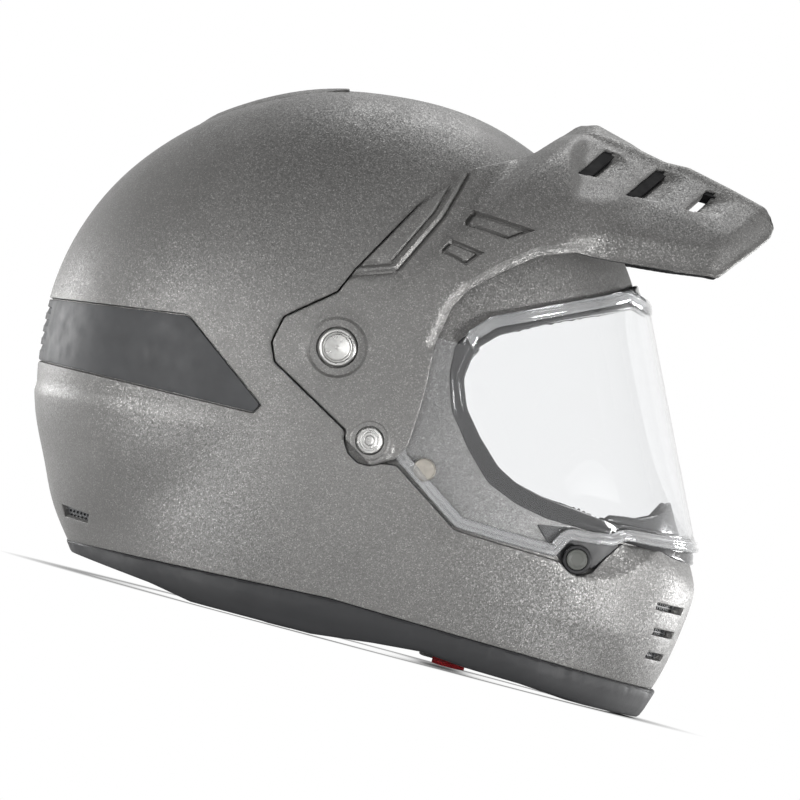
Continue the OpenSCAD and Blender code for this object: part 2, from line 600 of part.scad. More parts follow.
// Bearing rings in the shield's arms
module shield_arm_rings() color(satin) placed() both() difference() {
  bar(0, 0, hub_radius + 2.2, lens_in_y, lens_out_y - 0.1, 64);
  bar(0, 0, hub_radius + hub_play, 90, 140, 64);
}
module shield_snap_caps() color(steel) placed() both() union() {
  bar(snap_place[0], snap_place[1], snap_radius, snap_out_y - 0.7, snap_out_y + 0.9, 48);
  bar(snap_place[0], snap_place[1], 3, snap_out_y - lens_thickness, snap_out_y - 0.6, 24);
}

// Cross sections of the peak's hood, each from the middle to the side: how far along, then pairs of Y and Z
hood = [
  [66, [0, 112], [18, 110], [40, 96], [58, 76], [70, 50]],
  [72, [0, 121], [18, 118.5], [42, 104], [62, 84], [78, 60]],
  [90, [0, 141.2], [18, 137.6], [54, 117], [78, 98], [96, 70]],
  [99.3, [0, 144.4], [18, 140.4], [58, 115.6], [81, 97.5], [95, 74]],
  [118, [0, 139.6], [18, 138.4], [60, 113], [79, 98.5], [91, 79]],
  [137.4, [0, 133], [18, 134.6], [59, 111], [76, 97], [87, 80]],
  [150, [0, 131], [18, 135], [58.5, 110], [74, 95.5], [85, 81]],
  [175, [0, 126], [18, 129.6], [57, 106.5], [71, 93.5], [81, 83]],
  [204, [0, 119], [18, 122.6], [54, 102], [67, 90], [77, 80]]];
function hood_loop(s, d) = let(half = [for (i = [1:5]) s[i]],
  tail = half[4] + [2, -26],
  row = concat(half, [tail]),
  moved = [for (i = [0:5]) let(p = row[i], a = i == 0 ? [-row[1][0], row[1][1]] : row[i - 1],
    b = i == 5 ? tail + [0.2, -3] : row[i + 1], t = (b - a) / norm(b - a))
    [i == 0 ? 0 : p[0] + t[1] * d, p[1] - (i == 0 ? 1 : t[0]) * d]])
  concat([for (i = [5:-1:0]) [s[0], moved[i][0], moved[i][1]]],
    [for (i = [1:5]) [s[0], -moved[i][0], moved[i][1]]]);
module hood_form(d) {
  n = 11;
  m = len(hood);
  points = [for (s = hood) each hood_loop(s, d)];
  polyhedron(points, concat([[for (i = [0:n - 1]) i]],
    [for (j = [0:m - 2]) for (i = [0:n - 1]) let(a = j * n + i, b = j * n + (i + 1) % n)
      each [[a, a + n, b + n], [a, b + n, b]]],
    [[for (i = [n - 1:-1:0]) (m - 1) * n + i]]));
}
// Ends of each louvre: low outer end and high inner end
louvres = [[[95.8, 53.4, 117.6], [105.9, 29.3, 132.5]], [[122, 56.6, 113.4], [134.1, 27, 129.6]],
  [[153.2, 50.5, 113.6], [161.6, 28.6, 126.6]]];
module louvre_frame(l) {
  u = (l[1] - l[0]) / norm(l[1] - l[0]);
  f = [1, 0, -0.18];
  w0 = cross(u, f);
  w = w0 / norm(w0) * (w0[2] > 0 ? 1 : -1);
  v0 = f - (f * u) * u;
  v = v0 / norm(v0);
  multmatrix([[v[0], w[0], u[0], l[0][0]], [v[1], w[1], u[1], l[0][1]], [v[2], w[2], u[2], l[0][2]],
    [0, 0, 0, 1]]) children();
}
module louvre_cut(l, depth, grow = 0) louvre_frame(l) translate([0, 0, -grow])
  linear_extrude(norm(l[1] - l[0]) + 2 * grow) polygon([[-grow, 6], [-grow, -depth - grow],
    [2.5 + grow, -depth - grow], [18 + grow, 0.4 - grow], [18 + grow, 6]]);

// The space above the hood's roof, which the side arms keep out of: how far along, the ridge's height,
// then how far out and how high the roof ends
roof = [[78, 150, 95, 132], [97, 140.4, 91, 101], [118, 138.6, 84, 100], [137.4, 134.8, 79.5, 98],
  [215, 120, 76, 86]];
roof_side = 170;
module roof_space(d) {
  n = 6;
  m = len(roof);
  points = [for (r = roof) let(ridge = r[1] - d * 1.12,
      low = ridge - (roof_side - 18) * (r[1] - r[3]) / (r[2] - 18))
    each [[r[0], -roof_side, low], [r[0], -18, ridge], [r[0], 18, ridge], [r[0], roof_side, low],
      [r[0], roof_side, 300], [r[0], -roof_side, 300]]];
  polyhedron(points, concat([[0, 1, 2, 3, 4, 5]],
    [for (j = [0:m - 2]) for (i = [0:n - 1]) let(a = j * n + i, b = j * n + (i + 1) % n)
      each [[a, a + n, b + n], [a, b + n, b]]],
    [[for (i = [n - 1:-1:0]) (m - 1) * n + i]]));
}
// The space that the lifted shield passes through under the hood
module lens_sweep() pillow([for (a = angles) lens_line + 2.4], lens_out_y + 2.4);
module peak_form(d) {
  difference() {
    pillow(less(arm_r, d), plate_out_y - d);
    roof_space(d);
  }
  hood_form(d);
}
// Peak with its arms and side plates, in one piece
module peak() color(paint) placed() moulded() difference() {
  union() {
    difference() {
      intersection() {
        union() {
          peak_form(0);
        }
        across(plate_edge);
      }
      peak_form(peak_wall);
    }
    both() {
      bar(0, 0, 13, hub_top_y, screw_seat_y, 24, hole_turn);
      bar(small_screw[0], small_screw[1], 8, lower_seat_y, lower_screw_seat_y, 16, hole_turn);
      bar(small_screw[0], small_screw[1], 12.4, lower_screw_seat_y - 1, lower_plate_y, 32, hole_turn);
      for (l = louvres) difference() {
        intersection() {
          louvre_cut(l, louvre_depth, 1.6);
          hood_form(0.5);
        }
        lens_sweep();
      }
    }
  }
  both() {
    hole(0, 0, 15, plate_out_y - 1.35, 140, 36);
    hole(0, 0, big_screw_radius + 0.35, screw_seat_y, 140, 32);
    hole(0, 0, 3.1, 90, 140, 16);
    hole(small_screw[0], small_screw[1], 10, lower_plate_y - 0.8, 140, 28);
    hole(small_screw[0], small_screw[1], small_screw_radius + 0.3, lower_screw_seat_y, 140, 28);
    hole(small_screw[0], small_screw[1], 2.1, 90, 140, 16);
    for (l = louvres) {
      louvre_cut(l, louvre_depth);
      louvre_frame(l) translate([0.4, -20, 2]) cube([2, 20, norm(l[1] - l[0]) - 4]);
    }
  }
  for (q = marks) difference() {
    across(q);
    pillow(less(arm_r, arm_mark_depth), plate_out_y - arm_mark_depth);
  }
  skin(-slack);
}

// Chin strap hung between two rivets inside the shell
strap_wall_y = skin_y(strap_pivot[0], strap_pivot[1], shell_outline, shell_half_width, shell_wall);
hang_y = strap_wall_y - 3.8;
module strap_hangers() color(steel) placed() both() difference() {
  union() {
    bar(strap_pivot[0], strap_pivot[1], 7.4, hang_y - 1.6, hang_y);
    bar(strap_pivot[0], strap_pivot[1], 5, hang_y - 0.1, strap_wall_y + 0.6);
  }
  bar(strap_pivot[0], strap_pivot[1], 2.5, 60, 140, 24);
}
module strap_rivets() color(steel) placed() both() union() {
  bar(strap_pivot[0], strap_pivot[1], 2.5, hang_y - 7.2, strap_wall_y + 0.6, 24);
  bar(strap_pivot[0], strap_pivot[1], 5, hang_y - 8.6, hang_y - 7.1, 24);
}
strap_mid_y = hang_y - 5.6;
strap_path = [[strap_mid_y, 6], [strap_mid_y, -4], [strap_mid_y - 2, -16], [strap_mid_y - 9, -29],
  [strap_mid_y - 22, -41], [55, -48.6], [28, -52.6], [0, -54]];
strap_whole = concat(strap_path,
  [for (i = [len(strap_path) - 2:-1:0]) [-strap_path[i][0], strap_path[i][1]]]);
function way(p, i) = let(q = p[min(len(p) - 1, i + 1)] - p[max(0, i - 1)]) q / norm(q);
function beside(p, d) = [for (i = [0:len(p) - 1]) let(t = way(p, i)) p[i] + d * [t[1], -t[0]]];
function turned(p) = [for (i = [len(p) - 1:-1:0]) p[i]];
// A band that follows the strap, drawn across the helmet and made as wide as asked
module strap_band(d, width) translate([strap_pivot[0] - width / 2, 0, strap_pivot[1]]) rotate([90, 0, 90])
  linear_extrude(width) polygon(concat(beside(strap_whole, d), turned(beside(strap_whole, -d))));
ring_play = 0.08;
ring_height = strap_thickness / 2 + ring_wire / 2 + 0.5;
// The two rings along the strap: Y, height, radius and how the strap leans there
ring_spots = [[-24, -52.8, 11, 2.9], [-47, -49.8, 16.6, 8.4]];
module ring_place(k) translate([strap_pivot[0], ring_spots[k][0], strap_pivot[1] + ring_spots[k][1]])
  rotate([-ring_spots[k][3], 0, 0]) translate([0, 0, ring_height]) children();
module strap_webbing() color(cloth) placed() moulded() {
  difference() {
    union() {
      strap_band(strap_thickness / 2, strap_width);
      for (k = [0, 1]) ring_place(k) {
        rotate([0, 90, 0]) cylinder(r = ring_wire / 2 + 1.5, h = 17, center = true, $fn = 24);
        translate([-8.5, -ring_wire / 2 - 0.8, -ring_height]) cube([17, ring_wire + 1.6, ring_height]);
      }
    }
    both() bar(strap_pivot[0], strap_pivot[1], 3.2, 60, 140, 24);
    for (k = [0, 1]) ring_place(k) rotate([0, 90, 0])
      cylinder(r = ring_wire / 2 + ring_play, h = 60, center = true, $fn = 24);
  }
}
module strap_pins() color(steel) placed() both() difference() {
  bar(strap_pivot[0], strap_pivot[1], 7.5, strap_mid_y + strap_thickness / 2, hang_y - 2.2, 32);
  bar(strap_pivot[0], strap_pivot[1], 2.56, 60, 140, 24);
}
// Padded sleeve on each side of the strap
sleeve_sides = 12;
sleeve_spans = 10;
function sleeve_point(t) = let(k = 2.3 + 2.6 * t, i = floor(k), f = k - i)
  strap_path[i] * (1 - f) + strap_path[i + 1] * f;
module sleeve_form() {
  n = sleeve_sides;
  m = sleeve_spans;
  spots = [for (j = [0:m]) sleeve_point(j / m)];
  points = [for (j = [0:m]) let(p = spots[j], t = way(spots, j), e = min(j, m - j) / 2,
      k = sqrt(max(0, 1 - pow(1 - min(1, 0.1 + e), 2))), h = (strap_thickness / 2 + 2.9) * (0.45 + 0.55 * k)
      * (1 - 0.14 * pow(abs(cos(180 * j / m * 3)), 6)), w = (strap_width / 2 + 4) * (0.86 + 0.14 * k))
    for (i = [0:n - 1]) let(c = cos(360 * i / n), s = sin(360 * i / n), u = sign(c) * pow(abs(c), 0.6) * w,
      v = sign(s) * pow(abs(s), 0.85) * h)
      [strap_pivot[0] + u, p[0] + t[1] * v, strap_pivot[1] + p[1] - t[0] * v]];
  polyhedron(points, concat([[for (i = [0:n - 1]) i]],
    [for (j = [0:m - 1]) for (i = [0:n - 1]) let(a = j * n + i, b = j * n + (i + 1) % n)
      each [[a, a + n, b + n], [a, b + n, b]]],
    [[for (i = [n - 1:-1:0]) m * n + i]]));
}
module strap_pad() difference() {
  sleeve_form();
  strap_band(strap_thickness / 2 + bite, strap_width + 2 * bite);
}
module strap_pad_left() color(cloth) placed() moulded() strap_pad();
module strap_pad_right() color(cloth) placed() moulded() mirror([0, 1, 0]) strap_pad();

// A D shaped ring whose straight side lies along X
module ring_form(r) {
  rotate([0, 90, 0]) cylinder(r = ring_wire / 2, h = 2 * r, center = true, $fn = 16);
  rotate_extrude(angle = 180, $fn = 22) translate([r, 0]) circle(r = ring_wire / 2, $fn = 8);
  for (e = [-1, 1]) translate([e * r, 0, 0]) sphere(r = ring_wire / 2, $fn = 10);
}
module d_ring_small() color(steel) placed() moulded() ring_place(0) ring_form(ring_spots[0][2]);
module d_ring_large() color(steel) placed() moulded() ring_place(1) ring_form(ring_spots[1][2]);
// Red tab that hangs from the strap
module pull_tab() color(red) placed() moulded() difference() {
  translate([strap_pivot[0] - 5, -56.5, strap_pivot[1] - 57]) cube([strap_width / 2 + 5, 3, 8]);
  strap_band(strap_thickness / 2 + bite, strap_width + 9);
}

shell();
rear_panel();
crown_cover();
rim_trim();
eyeport_gasket();
chin_vent_grilles();
neck_vent_grilles();
breath_guard();
foam_liner();
chin_foam();
crown_pad();
cheek_pad_right();
cheek_pad_left();
cheek_foam_right();
cheek_foam_left();
neck_roll();
shield_base_plates();
pivot_hubs();
pivot_nuts();
lower_nuts();
snap_studs();
latch_housings();
latch_plates();
strap_hangers();
strap_rivets();
peak();
pivot_screws();
lower_screws();
shield_lens();
shield_arm_rings();
shield_snap_caps();
latch_button_right();
latch_button_left();
strap_webbing();
strap_pad_right();
strap_pad_left();
strap_pins();
d_ring_small();
d_ring_large();
pull_tab();
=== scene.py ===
"""Full face helmet with a long peak: the finished looks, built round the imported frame."""

import json
import math

import bpy
import numpy as np
from bpy.props import FloatProperty, FloatVectorProperty, PointerProperty
from mathutils import Matrix, Vector
from mathutils.geometry import delaunay_2d_cdt


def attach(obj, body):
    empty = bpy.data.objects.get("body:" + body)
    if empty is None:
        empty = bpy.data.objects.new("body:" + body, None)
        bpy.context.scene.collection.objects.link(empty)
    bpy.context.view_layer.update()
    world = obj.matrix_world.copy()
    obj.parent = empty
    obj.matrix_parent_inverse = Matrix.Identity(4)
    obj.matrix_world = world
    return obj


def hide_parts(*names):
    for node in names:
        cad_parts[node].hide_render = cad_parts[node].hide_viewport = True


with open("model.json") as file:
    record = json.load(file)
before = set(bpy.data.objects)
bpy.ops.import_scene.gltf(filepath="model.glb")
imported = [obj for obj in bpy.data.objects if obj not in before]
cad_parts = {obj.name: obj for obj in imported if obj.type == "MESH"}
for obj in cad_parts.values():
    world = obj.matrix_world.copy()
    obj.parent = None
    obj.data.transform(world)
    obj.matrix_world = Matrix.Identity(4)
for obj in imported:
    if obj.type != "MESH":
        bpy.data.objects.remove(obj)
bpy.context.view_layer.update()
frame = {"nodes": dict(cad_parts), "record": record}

bl_info = {
    "name": "Full Face Helmet",
    "version": (1, 0, 0),
    "blender": (4, 5, 0),
    "location": "View3D > Sidebar > Helmet",
    "description": "Builds the helmet's painted, clear, rubber, metal and cloth pieces",
    "category": "Object",
}

# Places are in millimetres from the shield's pivot: x forward, z up, and y to the wearer's left
MM = 0.001
PIVOT = np.array([j["pos_m"] for j in frame["record"]["behaviour"]["joints"] if j["name"] == "shield_hinge"][0]) * 1000
# How far each rounded body reaches to the side: the shell, the floor of its recess, the shield and the peak
SHELL_WIDTH, FLOOR_WIDTH, LENS_WIDTH, PEAK_WIDTH = 124.0, 115.8, 119.6, 125.0
SHELL_WALL, LENS_WALL, PEAK_WALL = 4.2, 2.2, 3.2
# How square the cross sections are, where 2 is an ellipse
SQUARENESS = 2.25
# Places in side view
BIG_SCREW = (0.0, 0.0)
SMALL_SCREW = (27.9, -41.4)
SNAP = (58.4, -48.6)
LATCH = (145.0, -73.0)
STRAP_PIVOT = (92.0, -86.0)
# How far out the side arm's plate is at the large and at the small screw
PLATE_Y = 125.0
LOW_PLATE_Y = 123.9
# How near the middle line a place on a map counts as on it
NEAR_MIDDLE = 0.05

# Side outlines of the rounded skins: angle from straight ahead, and distance from the pivot
SHELL_KNOTS = [(-90, 300), (-64, 288), (-45, 262), (-36, 243), (-32, 238), (-28, 232), (-24, 226.2),
    (-20, 220.2), (-17, 210.5), (-13, 196), (0, 171), (14, 160), (26, 154), (32, 153), (45, 147),
    (60, 141.3), (72, 137.8), (84, 134), (96, 131.6), (108, 131.6), (120, 131.9), (132, 133.6),
    (144, 136.6), (156, 140.8), (168, 144.8), (180, 148.5), (192, 151.6), (204, 156.2), (216, 160),
    (222, 166), (234, 171), (246, 205), (270, 300)]
LENS_LOW_KNOTS = [(-90, 470), (-64, 420), (-42, 320), (-28, 240), (-18, 222)]
# The shield's straight front: how far it is from the pivot, and how many degrees it leans back
LENS_LINE = 160.5
LENS_SLANT = 25.75
PEAK_KNOTS = [(-90, 300), (-45, 264), (-36, 246), (-24, 230), (-13, 220), (0, 196), (14, 184),
    (26, 182), (38, 186), (45, 184), (52, 173), (57, 165.5), (60, 146), (66, 143.6), (72, 141.8),
    (84, 138), (96, 135.8), (108, 135.6), (144, 140.6), (180, 152.4), (216, 164), (234, 175), (270, 300)]
GUARD_KNOTS = [(-90, 290), (-36, 232), (-28, 224), (-24, 218), (-20, 211), (-17, 204.5), (-13, 198.5),
    (0, 174), (14, 161), (26, 155), (90, 150), (180, 150), (270, 290)]

ANGLES = np.arange(-90, 270.01, 0.25)


def reading(knots, angles):
    """An outline's distances at some angles, smooth and without overshoot."""
    a, r = np.array(knots, float).T
    h = np.diff(a)
    rise = np.diff(r) / h
    lean = np.zeros(len(a))
    turn = rise[:-1] * rise[1:]
    total = np.where(turn > 0, rise[:-1] + rise[1:], 1)
    lean[1:-1] = np.where(turn > 0, 2 * turn / total, 0)
    i = np.clip(np.searchsorted(a, angles, side="right") - 1, 0, len(a) - 2)
    t = (angles - a[i]) / h[i]
    p, q, m, n = r[i], r[i + 1], lean[i] * h[i], lean[i + 1] * h[i]
    return ((2 * t**3 - 3 * t**2 + 1) * p + (t**3 - 2 * t**2 + t) * m
            + (3 * t**2 - 2 * t**3) * q + (t**3 - t**2) * n)


def blurred(values, sigma, mode="edge"):
    """A row of values with its corners softened over sigma steps."""
    half = int(3 * sigma) + 1
    kernel = np.exp(-0.5 * (np.arange(-half, half + 1) / sigma) ** 2)
    return np.convolve(np.pad(values, half, mode=mode), kernel / kernel.sum(), mode="valid")


def ramp(d, wide):
    """0 where d is below 0, 1 where it is over wide, and smooth between."""
    t = np.clip(d / wide, 0, 1)
    return t * t * (3 - 2 * t)


def softened(radii):
    """An outline with a smooth dome and back, and its chin and brow corners kept."""
    dome = ramp(ANGLES - 6, 14)
    return dome * blurred(radii, 16) + (1 - dome) * blurred(radii, 3)


def lens_radii():
    line = LENS_LINE / np.cos(np.radians(np.clip(ANGLES, -60, LENS_SLANT) - LENS_SLANT))
    low = reading(LENS_LOW_KNOTS, np.minimum(ANGLES, -18))
    return blurred(np.where(ANGLES < -18, low, line), 2)


SHELL_R = softened(reading(SHELL_KNOTS, ANGLES))
LENS_R = lens_radii()
FLOOR_R = LENS_R - 4
PEAK_R = blurred(reading(PEAK_KNOTS, ANGLES), 5)
GUARD_R = blurred(reading(GUARD_KNOTS, ANGLES), 3)


def angle_of(x, z):
    a = np.degrees(np.arctan2(z, x))
    return np.where(a < -90, a + 360, a)


def bulge(s):
    return np.clip(1 - np.clip(s, 0, 1) ** SQUARENESS, 0, None) ** (1 / SQUARENESS)


def unit(rows):
    return rows / np.maximum(np.linalg.norm(rows, axis=-1, keepdims=True), 1e-12)


def full_turn(n):
    return np.linspace(0, 2 * math.pi, n + 1)[:-1]


def pillow_y(x, z, radii, width):
    """How far a rounded body stands out from the middle, at places in side view."""
    return width * bulge(np.hypot(x, z) / np.interp(angle_of(x, z), ANGLES, radii))


class Skin:
    """A rounded body, worked on as a flat map of its right side. The map's edge is the middle line."""

    def __init__(self, radii, width):
        self.radii, self.width = radii, width
        turn = np.radians(np.arange(-90, 270, 0.75))
        reach = self.reach(np.degrees(turn)) * math.pi / 2
        self.limit = np.stack([reach * np.cos(turn), reach * np.sin(turn)], 1)

    def reach(self, angle):
        return np.interp(angle, ANGLES, self.radii)

    def to_map(self, side):
        """Places in side view, as places on the map."""
        x, z = np.array(side, float).T
        r, a = np.hypot(x, z), angle_of(x, z)
        big = self.reach(a)
        s = r / big
        t = np.arcsin(np.clip(s, 0, 1)) + np.clip(s - 1, 0, None)
        k = t * big / np.maximum(r, 1e-9)
        return np.stack([x * k, z * k], 1)

    def from_view(self, y, other, axis, low, high):
        """Places given by y and a height (axis 1) or a length (axis 0), between two angles, on the map."""
        turn = np.arange(low, high, 0.25)
        run = self.reach(turn) * (np.sin(np.radians(turn)) if axis else np.cos(np.radians(turn)))
        order = np.argsort(run)
        s = np.clip(1 - (np.abs(y) / self.width) ** SQUARENESS, 1e-6, 1) ** (1 / SQUARENESS)
        a = np.interp(other / s, run[order], turn[order])
        t = np.arcsin(s) * self.reach(a)
        t = np.where(y > 0, math.pi * self.reach(a) - t, t)
        return np.stack([t * np.cos(np.radians(a)), t * np.sin(np.radians(a))], 1)

    def base(self, m):
        x, z = m.T
        p, a = np.hypot(x, z), angle_of(x, z)
        big = self.reach(a)
        t = p / big
        s = np.sin(t)
        k = s * big / np.maximum(p, 1e-9)
        y = -self.width * bulge(s) * np.sign(np.cos(t))
        return np.stack([x * k, y, z * k], 1)

    def snap(self, m):
        """Puts map places that lie on the middle line exactly there, and says which they are."""
        x, z = m.T
        p, a = np.hypot(x, z), angle_of(x, z)
        edge = self.reach(a) * math.pi / 2
        mid = np.abs(p - edge) < NEAR_MIDDLE
        k = np.where(mid, edge / np.maximum(p, 1e-9), 1)
        return m * k[:, None], mid


def normals_of(skin, m):
    e = 0.08
    dx = skin.base(m + [e, 0]) - skin.base(m - [e, 0])
    dz = skin.base(m + [0, e]) - skin.base(m - [0, e])
    return unit(np.cross(dx, dz))


class MapLoop(np.ndarray):
    """A loop that is already on the map."""


class OpenLine(np.ndarray):
    """A crease line in side view whose ends don't meet."""


def on_map(points):
    return np.asarray(points, float).view(MapLoop)


def open_line(points):
    return np.asarray(points, float).view(OpenLine)


def dense(points, step=1.6, soft=0.0, closed=True):
    """An outline with points along its straight stretches. A closed one may have its corners softened."""
    p = np.array(points, float)
    rows = []
    for a, b in zip(p, np.roll(p, -1, axis=0) if closed else p[1:]):
        n = max(1, math.ceil(np.linalg.norm(b - a) / step))
        rows.append(a + (b - a) * (np.arange(n) / n)[:, None])
    if not closed:
        rows.append(p[-1:])
    p = np.concatenate(rows)
    return np.stack([blurred(c, soft / step, "wrap") for c in p.T], 1) if soft else p


def ring(x, z, r, n=48):
    a = np.arange(n) * 2 * math.pi / n
    return np.stack([x + r * np.cos(a), z + r * np.sin(a)], 1)


def offset(loop, d):
    """A closed loop moved inwards by d."""
    loop = np.asarray(loop)
    x, z = loop.T
    side = 1 if np.sum(x * np.roll(z, -1) - z * np.roll(x, -1)) > 0 else -1
    t = unit(np.roll(loop, -1, axis=0) - np.roll(loop, 1, axis=0))
    return loop + side * d * np.stack([-t[:, 1], t[:, 0]], 1)


def inside(points, loop):
    """Which points lie in a closed loop."""
    loop = np.asarray(loop)
    out = np.zeros(len(points), bool)
    x0, z0 = loop.T
    x1, z1 = np.roll(loop, -1, axis=0).T
    for k in range(0, len(points), 4000):
        px, pz = points[k:k + 4000, 0:1], points[k:k + 4000, 1:2]
        cross = (z0 > pz) != (z1 > pz)
        at = x0 + (pz - z0) * (x1 - x0) / np.where(z1 == z0, 1e-12, z1 - z0)
        out[k:k + 4000] = (np.count_nonzero(cross & (px < at), axis=1) % 2) == 1
    return out


def distance(points, starts, ends):
    """The distance of each point to the nearest of some straight stretches."""
    out = np.full(len(points), 1e9)
    run = ends - starts
    size = np.maximum((run**2).sum(1), 1e-12)
    for k in range(0, len(points), 500):
        d = points[k:k + 500, None] - starts[None]
        t = np.clip((d * run).sum(2) / size, 0, 1)
        out[k:k + 500] = np.sqrt(((d - t[..., None] * run) ** 2).sum(2)).min(1)
    return out


def to_line(points, line, closed=True):
    line = np.asarray(line)
    if closed:
        return distance(points, line, np.roll(line, -1, axis=0))
    return distance(points, line[:-1], line[1:])


def sheet(name, skin, keep, cut=(), thick=3.0, edge=0.8, cell=4.0, lines=(), rise=None, shape=None,
          under=None, inner_slot=False):
    """A closed moulded piece on a skin: the part inside every keep loop and outside every cut loop.

    Loops are in side view, already dense. rise lifts the outside, given places in side view and on the
    map. Its outer edges are rounded over edge. under gives the depth of the inside, and shape moves the
    outside and inside after that. inner_slot gives the inside's faces the second material."""
    def placed(line):
        return np.asarray(line) if isinstance(line, MapLoop) else skin.to_map(line)

    def within(places):
        ok = inside(places, skin.limit)
        for loop in keep:
            ok &= inside(places, loop)
        for loop in cut:
            ok &= ~inside(places, loop)
        return ok

    def add(line, closed=True):
        first, n = sum(len(p) for p in points), len(line)
        points.append(line)
        edges.extend((first + i, first + (i + 1) % n) for i in range(n if closed else n - 1))

    points, edges = [], []
    keep, cut = [placed(loop) for loop in keep], [placed(loop) for loop in cut]
    for loop, way in [(k, 1) for k in keep] + [(c, -1) for c in cut]:
        add(loop)
        if edge:
            add(offset(loop, 0.3 * edge * way))
            add(offset(loop, edge * way))
    for line in lines:
        add(placed(line), closed=not isinstance(line, OpenLine))
    add(skin.limit)
    reach = np.concatenate(keep)
    low, high = np.maximum(reach.min(0), skin.limit.min(0)), np.minimum(reach.max(0), skin.limit.max(0))
    rows = []
    for k, z in enumerate(np.arange(low[1], high[1], cell * 0.866)):
        x = np.arange(low[0] + (k % 2) * cell / 2, high[0], cell)
        rows.append(np.stack([x, np.full(len(x), z)], 1))
    grid, fixed = np.concatenate(rows), np.concatenate(points)
    grid = grid[within(grid)]
    grid = grid[distance(grid, fixed, fixed) > 0.55 * cell]
    every = np.concatenate([fixed, grid])
    result = delaunay_2d_cdt([Vector(p) for p in every.tolist()], edges, [], 0, 1e-5)
    m, mid = skin.snap(np.array([v[:] for v in result[0]]))
    tris = np.array([f[:] for f in result[2]])
    tris = tris[within(m[tris].mean(1))]
    a, b, c = m[tris[:, 0]], m[tris[:, 1]], m[tris[:, 2]]
    flip = np.cross(b - a, c - a) < 0
    tris[flip] = tris[flip][:, ::-1]
    used, tris = np.unique(tris, return_inverse=True)
    tris = tris.reshape(-1, 3)
    m, mid = m[used], mid[used]
    pairs = np.concatenate([tris[:, [0, 1]], tris[:, [1, 2]], tris[:, [2, 0]]])
    key = set(map(tuple, pairs.tolist()))
    rim = np.array([p for p in key if (p[1], p[0]) not in key and not (mid[p[0]] and mid[p[1]])])
    base, normal = skin.base(m), normals_of(skin, m)
    base[mid, 1] = normal[mid, 1] = 0
    normal[mid] = unit(normal[mid])
    depth = np.zeros(len(m))
    if edge and len(rim):
        d = np.clip(distance(m, m[rim[:, 0]], m[rim[:, 1]]), 0, edge)
        depth = edge - np.sqrt(np.maximum(edge**2 - (edge - d) ** 2, 0))
    side = base[:, [0, 2]]
    lift = rise(side, m) if rise else np.zeros(len(m))
    top = base + normal * (lift - depth)[:, None]
    bottom = base - normal * (under(side, m, lift) if under else np.full(len(m), thick))[:, None]
    if shape:
        top, bottom = shape(side, m, top, bottom, normal)
    top[mid, 1] = bottom[mid, 1] = 0
    n = len(m)
    both, shared = np.concatenate([top, bottom]), np.concatenate([mid, mid])
    right = np.arange(2 * n)
    left = np.where(shared, right, np.cumsum(~shared) - 1 + 2 * n)
    faces = []
    for index, order in ((right, [0, 1, 2]), (left, [2, 1, 0])):
        faces.extend(index[tris[:, order]].tolist())
        faces.extend(index[tris[:, order[::-1]] + n].tolist())
        for p, q in rim.tolist():
            wall = index[[q, p, p + n, q + n]].tolist()
            faces.append(wall if index is right else wall[::-1])
    obj = mesh_object(name, np.concatenate([both, both[~shared] * [1, -1, 1]]), faces)
    if inner_slot:
        half = 2 * len(tris) + len(rim)
        for k, polygon in enumerate(obj.data.polygons):
            polygon.material_index = int(len(tris) <= k % half < 2 * len(tris))
    return obj


def in_metres(place):
    """Places in millimetres from the pivot, as the scene's own."""
    return ((np.array(place) + PIVOT) * MM).tolist()


def mesh_object(name, points, faces, edges=()):
    mesh = bpy.data.meshes.new(name)
    mesh.from_pydata(in_metres(points), edges, faces)
    mesh.update()
    obj = bpy.data.objects.new(name, mesh)
    bpy.context.scene.collection.objects.link(obj)
    return obj


def only(obj):
    bpy.ops.object.select_all(action="DESELECT")
    obj.select_set(True)
    bpy.context.view_layer.objects.active = obj


def smooth(obj, angle=50, weighted=True):
    only(obj)
    bpy.ops.object.shade_smooth_by_angle(angle=math.radians(angle), keep_sharp_edges=True)
    if weighted:
        modifier = obj.modifiers.new("even light", "WEIGHTED_NORMAL")
        modifier.keep_sharp = True
        modifier.weight = 60
        bpy.ops.object.modifier_apply(modifier=modifier.name)


def weld(obj, spin=None):
    """Merges a piece's doubles and turns its faces outwards, after a spin where one is given."""
    only(obj)
    bpy.ops.object.mode_set(mode="EDIT")
    bpy.ops.mesh.select_all(action="SELECT")
    if spin:
        bpy.ops.mesh.spin(angle=2 * math.pi, axis=(0, 1, 0), **spin)
        bpy.ops.mesh.select_all(action="SELECT")
    bpy.ops.mesh.remove_doubles(threshold=2e-6)
    bpy.ops.mesh.normals_make_consistent(inside=False)
    bpy.ops.object.mode_set(mode="OBJECT")


# Outlines in side view
EYE_PORT = [(64.5, 17), (76, 31), (105, 46), (127, 56), (139, 64.5), (175, 92), (260, 120), (260, -57),
    (204, -57), (154, -55), (122, -53), (106, -49), (93, -42), (80, -29.5), (68, -15), (62.5, 1)]
GASKET_HOLE = [(68.1, 16.9), (78.5, 27.6), (106.5, 42.4), (127.9, 52), (143, 58.5), (180, 78),
    (260, 110), (260, -50), (203, -51), (154, -50.5), (122, -47.2), (105.8, -43.5), (94.4, -37.6),
    (82.3, -26), (71.5, -13), (66.1, 1)]
GASKET_EDGE = [(57.5, 17.5), (70, 34.5), (104, 51), (126, 61.5), (140, 70), (175, 92), (260, 120),
    (260, -62), (202, -60.5), (154, -58), (124.7, -57.2), (108, -54), (91, -47), (77, -33.2),
    (63.5, -15.8), (57.8, 2.6)]
ABOVE_RIM = [(-260, 260), (-260, -128.5), (-108, -130.4), (28, -123.8), (199, -128.5), (280, -131.5),
    (280, 260)]
